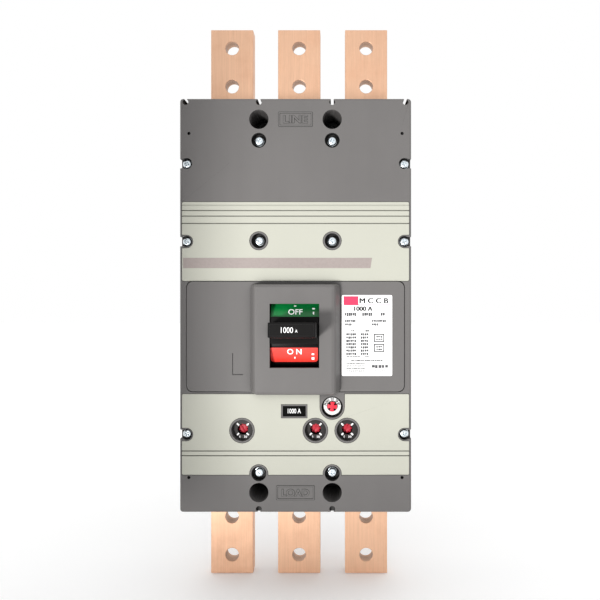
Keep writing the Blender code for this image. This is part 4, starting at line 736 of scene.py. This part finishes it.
def make_grip():
    """The rating on the tip of the grip, the rim round it, and the ribs on the upper and lower faces."""
    digits = letters("grip_rating", "1000", 5.0 * MM, 10.6 * MM, 0.12 * MM)
    digits.transform(Matrix.Translation((-1.5 * MM, 0, 0)))
    unit = letters("grip_unit", "A", 2.7 * MM, 2.2 * MM, 0.12 * MM)
    unit.transform(Matrix.Translation((6.6 * MM, -0.9 * MM, 0)))
    word = joined("grip_rating", [digits, unit])
    along = Matrix.Translation(HANDLE_AXIS) @ Matrix.Rotation(-HANDLE_TILT, 4, "X")
    tip = along @ Matrix.Translation((0, -GRIP_TIP * MM, 0)) @ UPRIGHT
    word.transform(tip @ Matrix.Translation((-2.5 * MM, 0, 0)))
    put("grip_rating", word, "white_ink", "handle")
    inside = slab("grip_rim_room", centred(38.0 * MM, 9.6 * MM, 0.5 * MM), *THROUGH)
    rim = carved(slab("grip_rim", centred(39.2 * MM, 10.8 * MM, 0.8 * MM), -LIFT, 0.22 * MM), [inside])
    rim.transform(tip)
    put("grip_rim", rim, "black", "handle")
    ribs = []
    for side in (-1, 1):
        for number in range(7):
            reach = 67 + 3.2 * number
            half = 7.3 * MM - (reach - GRIP_ROOT) / (GRIP_TIP - GRIP_ROOT) * 0.7 * MM
            outline = rounded((-17.5 * MM, 17.5 * MM), (-0.5 * MM, 0.5 * MM), 0.45 * MM, 4)
            rib = bevelled(slab(f"rib_{side}_{number}", outline, -0.3 * MM, 0.35 * MM), 0.15 * MM, 2)
            if side < 0:
                rib.transform(Matrix.Rotation(math.pi, 4, "Y"))
            rib.transform(along @ Matrix.Translation((0, -reach * MM, side * half)))
            ribs.append(rib)
    put("grip_ribs", joined("grip_ribs", ribs), "black", "handle")


# Runs of figures on the label, in mm from its upper left corner: left, right, down, height, count.
LABEL_HEAD = ((2.8, 14.3, 16.8, 3.0, 6), (19.5, 29.5, 16.8, 3.0, 5), (37.0, 41.0, 16.8, 3.0, 2))
LABEL_TABLE = (
    (3.2, 13.5, 23.6, 2.0, 6), (3.2, 9.5, 27.0, 2.0, 4),
    (28.5, 42.5, 23.6, 2.0, 8), (28.5, 35.0, 27.0, 2.0, 4),
    (9.0, 12.0, 33.3, 1.4, 2), (22.5, 26.5, 33.3, 1.4, 2),
    *((*xs, 36.3 + row * 3.1, 2.1, count)
      for row in range(7) for *xs, count in ((4.3, 14.0, 5), (18.0, 25.5, 4))),
    (4.5, 18.0, 58.2, 1.0, 9), (22.0, 26.0, 58.2, 1.0, 3), (9.0, 39.0, 61.5, 1.2, 16),
    *((4.5, 22.0, 64.6 + row * 2.4, 0.9, 12 - row) for row in range(4)),
    (28.5, 44.5, 66.5, 2.8, 5), (31.0, 44.0, 71.8, 0.8, 10),
)


def make_rating_label():
    """The white film with its heading, a table of figures drawn as short bars, and a framed row."""
    dress(["rating_label"], "film", 0.0001)
    dress(["rating_plate"], "window_black", 0.0001)
    low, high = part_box("rating_label")
    top, left, y = high.z, low.x, low.y

    def strip(name, x0, x1, down0, down1):
        xs = (left + x0 * MM, left + x1 * MM)
        return block(name, xs, (top - down1 * MM, top - down0 * MM), (0, PRINT))

    heading = [strip("corner_block", 1.8, 15.7, 1.2, 9.7), strip("rule", 15.7, 46.6, 9.1, 9.7)]
    put("label_red", facing_front(joined("label_red", heading), 0, y, 0), "red_ink", "root")
    words = []
    lines = (("M C C B", 4.9, 27, 30.6, 5.4), ("1000 A", 4.2, 17, 20.5, 13.0))
    for shift in (-0.3, -0.1, 0.1, 0.3):
        for text, height, width, x, down in lines:
            word = letters("label_word", text, height * MM, width * MM)
            word.transform(Matrix.Translation((left + (x + shift) * MM, top - down * MM, 0)))
            words.append(word)
    put("label_words", facing_front(joined("label_words", words), 0, y, 0), "ink", "root")
    bars = []
    numbers = itertools.count()

    def dashes(x0, x1, down, tall, pieces):
        """A run of figures as short bars with gaps, of lengths that vary by their place."""
        span = (x1 - x0) / pieces
        for piece in range(pieces):
            number = next(numbers)
            width = span * (0.68 + 0.24 * ((number * 7) % 5) / 4)
            start = x0 + piece * span
            rise = tall * (0.9 + 0.2 * ((number * 3) % 4) / 3)
            bars.append(strip(f"dash_{number}", start, start + width, down, down + rise))

    for run in LABEL_HEAD:
        dashes(*run)
    for down in (22.2, 31.0):
        bars.append(strip("table_rule", 2.5, 45.0, down, down + 0.2))
    for run in LABEL_TABLE:
        dashes(*run)
    for down in (37.0, 46.5):
        for x0, x1, upper, lower in ((0, 10, 0, 1), (0, 10, 6.6, 7.6), (0, 1, 0, 7.6), (9, 10, 0, 7.6)):
            bars.append(strip("mark_side", 30.5 + x0, 30.5 + x1, down + upper, down + lower))
        for row in (2.0, 4.4):
            dashes(32.8, 38.9, down + row, 1.4, 3)
    figures = facing_front(joined("label_figures", bars), 0, y, 0)
    put("label_figures", figures, "grey_ink", "root")
    low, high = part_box("rating_plate")
    mesh = letters("plate_rating", "1000 A", 4.6 * MM, 12.5 * MM, PRINT, 0.008)
    facing_front(mesh, (low.x + high.x) / 2, low.y, (low.z + high.z) / 2)
    put("plate_rating", mesh, "white_ink", "root")


def notched_disc(name, radius, notch, height, count, turn, low=0.0):
    """A round cap with notches in its rim."""
    points = []
    steps = 12
    half = notch / radius
    floor = radius - notch * 1.9
    for number in range(count):
        middle = turn + number * 2 * math.pi / count
        corners = ((radius, -half), (floor, -half * 0.8), (floor, half * 0.8))
        points += [(reach * math.cos(middle + a), reach * math.sin(middle + a)) for reach, a in corners]
        rest = 2 * math.pi / count - 2 * half
        for step in range(steps):
            a = middle + half + rest * step / steps
            points.append((radius * math.cos(a), radius * math.sin(a)))
    return slab(name, points, low, height)


def make_button():
    """The cap, its stem, the words round the collar, and a coil spring."""
    low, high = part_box("trip_button")
    centre = (low + high) / 2
    radius = (high.x - low.x) / 2
    cap = notched_disc("button_cap", radius, 1.2 * MM, 0, 4, math.radians(40), -1.6 * MM)
    cap = bevelled(cap, 0.22 * MM, 3)
    button = frame["nodes"]["trip_button"]
    corners = [button.matrix_world @ vert.co for vert in button.data.vertices]
    reaches = [(math.hypot(at.x - centre.x, at.z - centre.z), at.y - low.y) for at in corners]
    head = max(down for reach, down in reaches if reach > 0.9 * radius)
    stem = max(reach for reach, down in reaches if down > head + 1 * MM)
    end = high.y - low.y
    core = radius - 1.5 * MM
    profile = [(0, -1.4 * MM), (core, -1.4 * MM), (core, -1.6 * MM), (radius, -1.6 * MM)]
    profile += [(radius, -head), (stem, -head), (stem, -end), (0, -end)]
    skirt = lathe("button_skirt", profile, 40)
    facing_front(cap, centre.x, low.y, centre.z)
    facing_front(skirt, centre.x, low.y, centre.z)
    put("button_cap", cap, "red", "trip_button", ["trip_button"])
    put("button_stem", skirt, "black", "trip_button")
    dress(["button_collar"], "white", 0.0002)
    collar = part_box("button_collar")[0].y
    glyphs = []
    for number, glyph in enumerate("PUSH TO TRIP"):
        if glyph == " ":
            continue
        angle = math.radians(75 - number * 150 / 11)
        for shift in (-0.17, 0.0, 0.17):
            letter = letters(f"collar_{number}", glyph, 2.5 * MM, 0.4 * MM if glyph == "I" else 1.45 * MM)
            letter.transform(Matrix.Rotation(angle, 4, "Z") @ Matrix.Translation((shift * MM, 6.7 * MM, 0)))
            glyphs.append(letter)
    mesh = facing_front(joined("collar_word", glyphs), centre.x, collar, centre.z)
    put("collar_word", mesh, "ink", "root")
    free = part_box("button_spring")
    front, back = (Vector((centre.x, corner.y, centre.z)) for corner in free)
    outer = (free[1].x - free[0].x) / 2
    spring = coil("button_coil", front, back, outer, 0.25 * MM, 3, "root", "button_spring")
    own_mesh(spring)


def coil(name, start, end, outer, wire, turns, body, stands_for):
    """A coil spring between two points, in the room of the round bar that it replaces."""
    along = end - start
    length = along.length
    along.normalize()
    side = along.orthogonal().normalized()
    other = along.cross(side)
    steps = 14 * turns
    points = []
    for step in range(steps + 1):
        share = step / steps
        angle = share * turns * 2 * math.pi
        travel = wire + share * (length - 2 * wire)
        reach = outer - wire
        points.append(start + along * travel + (side * math.cos(angle) + other * math.sin(angle)) * reach)
    return put(name, rope(name, points, wire), "spring", body, [stands_for])


def make_dials():
    """Dials: a notched red knob with an arrow on a dark disc, and a ring with its scale in the well; the
    ring's near-black colour is painted shade.
    """
    knob, tall, thick, shaft = 4.5 * MM, 2.4 * MM, 1.8 * MM, 3 * MM
    chamfer = 0.3 * MM
    half, wing, neck, tip = 0.55 * MM, 1.5 * MM, knob * 0.45, knob * 0.95
    arrow = ((-half, -knob), (half, -knob), (half, neck), (wing, neck), (0, tip))
    arrow += ((-wing, neck), (-half, neck))
    inner, outer, rise = 5.25 * MM, 10.0 * MM, 0.15 * MM
    for node in ("current_dial", "delay_dial", "instant_dial"):
        low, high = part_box(node)
        centre = (low + high) / 2
        disc, end = (high.x - low.x) / 2, low.y - high.y
        cap = notched_disc(node + "_knob", knob, 0.55 * MM, 0, 8, 0.2, -tall)
        cap = bevelled(carved(cap, [slab(node + "_arrow", arrow, -0.6 * MM, 1 * MM)]), 0.14 * MM, 2)
        spin = math.radians(25 if node == "current_dial" else -35)
        facing_front(cap, centre.x, low.y, centre.z, spin)
        put("knob_of_" + node, cap, "red", node, [node])
        profile = [(0, -tall), (disc - chamfer, -tall), (disc, -tall - chamfer), (disc, -tall - thick)]
        profile += [(shaft, -tall - thick), (shaft, end), (0, end)]
        plate = facing_front(lathe(node + "_plate", profile, 40), centre.x, low.y, centre.z)
        put("disc_of_" + node, plate, "black", node)
        # The ring's near-black colour is painted shade in the well.
        profile = [(inner, 0), (inner + 0.1 * MM, rise), (outer - 0.1 * MM, rise), (outer, 0), (inner, 0)]
        web = FACE_Y + WEB_BELOW_FACE
        ring = facing_front(lathe("ring", profile), centre.x, web, centre.z)
        put("ring_of_" + node, ring, "ring", "root")
        scale = facing_front(joined(node + "_scale", dial_scale()), centre.x, web - rise, centre.z)
        put("scale_of_" + node, scale, "white_ink", "root")


def dial_scale():
    """Four marks on the diagonals, and the figures of the scale's two ends."""
    marks = []
    reach = 6.6 * MM
    for number in range(4):
        angle = math.radians(45 + 90 * number)
        outline = rounded((-0.75 * MM, 0.75 * MM), (-1.4 * MM, 1.4 * MM), 0.3 * MM, 3)
        mark = slab(f"mark_{number}", outline, 0, PRINT)
        place = Matrix.Translation((reach * math.cos(angle), reach * math.sin(angle), 0))
        mark.transform(place @ Matrix.Rotation(angle - math.pi / 2, 4, "Z"))
        marks.append(mark)
    for text, x, width in (("1", -2.9, 0.6), ("10", 2.7, 2.6)):
        for shift in (-0.15, 0.15):
            figure = letters("figure", text, 2.3 * MM, width * MM)
            figure.transform(Matrix.Translation(((x + shift) * MM, -7.2 * MM, 0)))
            marks.append(figure)
    return marks


def make_mechanism():
    steel = ["upper_link", "lower_link", "toggle_pin", "cradle", "cradle_pin", "handle_yoke", "latch"]
    steel += ["frame_plate_left", "frame_plate_right"]
    dress(steel, "steel", 0.0002)
    dress(["crossbar", "trip_bar", "trip_unit_case"], "insulator", 0.0003)
    for side in ("left", "right"):
        start, end, outer = long_axis(f"main_spring_{side}")
        coil(f"main_coil_{side}", start, end, outer, 0.55 * MM, 9, "handle", f"main_spring_{side}")


def make_conductors():
    coppers = [f"{part}_{pole}" for part in ("contact_arm", "heater_blade") for pole in POLES]
    dress(coppers, "copper", 0.0003)
    dress([f"arc_chute_{pole}" for pole in POLES], "steel", 0.0001)
    dress([f"shunt_{pole}" for pole in POLES], "braid", 0)


# The stage: where the key light, the screen beside it and the camera stand.
KEY_PLACE, KEY_AIM = (-0.62, -1.5, -0.40), (0.09, -0.1, 0.07)
FLAG_PLACE = (-0.235, -0.43, 0)
CAMERA_PLACE = (0.0396, -0.680, 0.0195)


def make_stage():
    """A pale floor, an even white sky, a soft key light with a screen beside it, and the camera."""
    looks = bpy.context.scene.breaker_looks
    scene = bpy.context.scene
    floor_z = CAD_BOX[0][2] - 1 * MM
    mesh = slab("floor", rounded((-4, 4), (-4, 4), 0.5), -0.02, 0)
    floor = bpy.data.objects.new("floor", mesh)
    scene.collection.objects.link(floor)
    floor.location.z = floor_z
    floor.visible_shadow = False
    paper, tree, shader = start_skin("paper_floor")
    grain = noise(tree, coords(tree), 300.0, 3.0)
    body = blended(tree, grain, (0.96, 0.96, 0.96), (0.99, 0.99, 0.99))
    tree.links.new(body, shader.inputs["Base Color"])
    shader.inputs["Roughness"].default_value = 0.9
    shader.inputs["Emission Color"].default_value = (1, 1, 1, 1)
    shader.inputs["Emission Strength"].default_value = 0.11
    lift_grain(tree, shader, grain, 0.0001)
    mesh.materials.append(paper)

    world = bpy.data.worlds.new("studio")
    world.use_nodes = True
    world.node_tree.nodes["Background"].inputs["Color"].default_value = (1, 1, 1, 1)
    world.node_tree.nodes["Background"].inputs["Strength"].default_value = looks.sky_strength
    scene.world = world

    key = bpy.data.objects.new("key", bpy.data.lights.new("key", "SPOT"))
    scene.collection.objects.link(key)
    key.data.energy = looks.key_power
    key.data.color = (1, 0.99, 0.97)
    key.data.shadow_soft_size = 0.15
    key.data.spot_size = math.radians(24)
    key.data.spot_blend = 0.6
    key.location = KEY_PLACE
    key.rotation_euler = (Vector(KEY_AIM) - Vector(KEY_PLACE)).to_track_quat("-Z", "Y").to_euler()

    flag = bpy.data.objects.new("flag", block("flag", (-0.14, 0.02), (-0.25, 0.35), (0, 2 * MM)))
    scene.collection.objects.link(flag)
    flag.matrix_world = Matrix.Translation(FLAG_PLACE) @ UPRIGHT
    flag.data.materials.append(skin("black"))
    flag.visible_camera = False

    camera = bpy.data.objects.new("camera", bpy.data.cameras.new("camera"))
    scene.collection.objects.link(camera)
    camera.location = CAMERA_PLACE
    camera.rotation_euler = (math.pi / 2, 0, 0)
    camera.data.lens = 36.18
    camera.data.sensor_width = 36
    camera.data.shift_x = -0.0617
    camera.data.shift_y = -0.025
    camera.data.clip_start = 0.01
    scene.camera = camera
    scene.view_settings.view_transform = "Standard"


# Settings, operators and panel


def colour_property(name, description, default):
    return bpy.props.FloatVectorProperty(
        name=name, description=description, subtype="COLOR", size=3, min=0, max=1, default=default)


class BreakerLooks(bpy.types.PropertyGroup):
    dark_colour: colour_property("Dark moulding", "Cover and handle surround", (0.128, 0.122, 0.120))
    base_colour: colour_property("Base moulding", "Rear case", (0.085, 0.082, 0.082))
    cream_colour: colour_property("Cream moulding", "The two trim panels", (0.435, 0.436, 0.378))
    copper_colour: colour_property("Copper", "Terminal bars", (0.78, 0.49, 0.33))
    red_colour: colour_property("Red moulding", "The button and the knobs", (0.66, 0.018, 0.045))
    stripe_colour: colour_property("Stripe", "Printed stripe", (0.30, 0.255, 0.24))
    off_colour: colour_property("Off flag", "Flag that shows when the breaker is off", (0.0, 0.20, 0.04))
    on_colour: colour_property("On flag", "Flag that shows when the breaker is on", (0.9, 0.045, 0.03))
    key_power: bpy.props.FloatProperty(
        name="Key light", description="Power of the main light", default=92.0, min=0, unit="POWER")
    sky_strength: bpy.props.FloatProperty(
        name="Sky", description="Strength of the even light", default=1.0, min=0)


class BREAKER_OT_case(bpy.types.Operator):
    """Finish the base and the main cover, and add the names of their ends"""

    bl_idname = "breaker.case"
    bl_label = "Case"

    def execute(self, context):
        make_case()
        return {"FINISHED"}


class BREAKER_OT_trims(bpy.types.Operator):
    """Finish the two cream panels and print the stripe"""

    bl_idname = "breaker.trims"
    bl_label = "Trim panels"

    def execute(self, context):
        make_trims()
        return {"FINISHED"}


class BREAKER_OT_panel(bpy.types.Operator):
    """Finish the handle surround"""

    bl_idname = "breaker.panel"
    bl_label = "Handle surround"

    def execute(self, context):
        make_panel()
        return {"FINISHED"}


class BREAKER_OT_screws(bpy.types.Operator):
    """Put a threaded cross-head screw in each place"""

    bl_idname = "breaker.screws"
    bl_label = "Cover screws"

    def execute(self, context):
        make_screws()
        return {"FINISHED"}


class BREAKER_OT_bars(bpy.types.Operator):
    """Finish the copper terminal bars"""

    bl_idname = "breaker.bars"
    bl_label = "Terminal bars"

    def execute(self, context):
        make_bars()
        return {"FINISHED"}


class BREAKER_OT_handle(bpy.types.Operator):
    """Finish the handle and its shutter, with the flags and their printing"""

    bl_idname = "breaker.handle"
    bl_label = "Handle and flags"

    def execute(self, context):
        make_handle()
        return {"FINISHED"}


class BREAKER_OT_label(bpy.types.Operator):
    """Print the rating label and the rating plate"""

    bl_idname = "breaker.label"
    bl_label = "Rating label"

    def execute(self, context):
        make_rating_label()
        return {"FINISHED"}


class BREAKER_OT_button(bpy.types.Operator):
    """Make the trip button with its collar and spring"""

    bl_idname = "breaker.button"
    bl_label = "Trip button"

    def execute(self, context):
        make_button()
        return {"FINISHED"}


class BREAKER_OT_dials(bpy.types.Operator):
    """Make the three adjusting dials with their scales"""

    bl_idname = "breaker.dials"
    bl_label = "Dials"

    def execute(self, context):
        make_dials()
        return {"FINISHED"}


class BREAKER_OT_mechanism(bpy.types.Operator):
    """Finish the switching mechanism and wind its springs"""

    bl_idname = "breaker.mechanism"
    bl_label = "Mechanism"

    def execute(self, context):
        make_mechanism()
        return {"FINISHED"}


class BREAKER_OT_conductors(bpy.types.Operator):
    """Finish the contact arms, the heaters, the braids and the arc chutes"""

    bl_idname = "breaker.conductors"
    bl_label = "Current path"

    def execute(self, context):
        make_conductors()
        return {"FINISHED"}


class BREAKER_OT_stage(bpy.types.Operator):
    """Lay the floor and place the lights and the camera"""

    bl_idname = "breaker.stage"
    bl_label = "Stage"

    def execute(self, context):
        make_stage()
        return {"FINISHED"}


OPERATORS = (
    BREAKER_OT_case,
    BREAKER_OT_trims,
    BREAKER_OT_panel,
    BREAKER_OT_screws,
    BREAKER_OT_bars,
    BREAKER_OT_handle,
    BREAKER_OT_label,
    BREAKER_OT_button,
    BREAKER_OT_dials,
    BREAKER_OT_mechanism,
    BREAKER_OT_conductors,
    BREAKER_OT_stage,
)


class BREAKER_PT_pieces(bpy.types.Panel):
    """The pieces of the breaker, each with its button"""

    bl_idname = "BREAKER_PT_pieces"
    bl_label = "Molded case breaker"
    bl_space_type = "VIEW_3D"
    bl_region_type = "UI"
    bl_category = "Breaker"

    def draw(self, context):
        looks = context.scene.breaker_looks
        for name in BreakerLooks.__annotations__:
            self.layout.prop(looks, name)
        for operator in OPERATORS:
            self.layout.operator(operator.bl_idname)


def register():
    for cls in (BreakerLooks, *OPERATORS, BREAKER_PT_pieces):
        bpy.utils.register_class(cls)
    bpy.types.Scene.breaker_looks = bpy.props.PointerProperty(type=BreakerLooks)


def unregister():
    del bpy.types.Scene.breaker_looks
    for cls in (BREAKER_PT_pieces, *reversed(OPERATORS), BreakerLooks):
        bpy.utils.unregister_class(cls)


def plain(box):
    return [[float(value) for value in corner] for corner in box]


def main():
    register()
    for operator in OPERATORS:
        getattr(bpy.ops.breaker, operator.bl_idname.split(".")[1])()


if __name__ == "__main__":
    main()
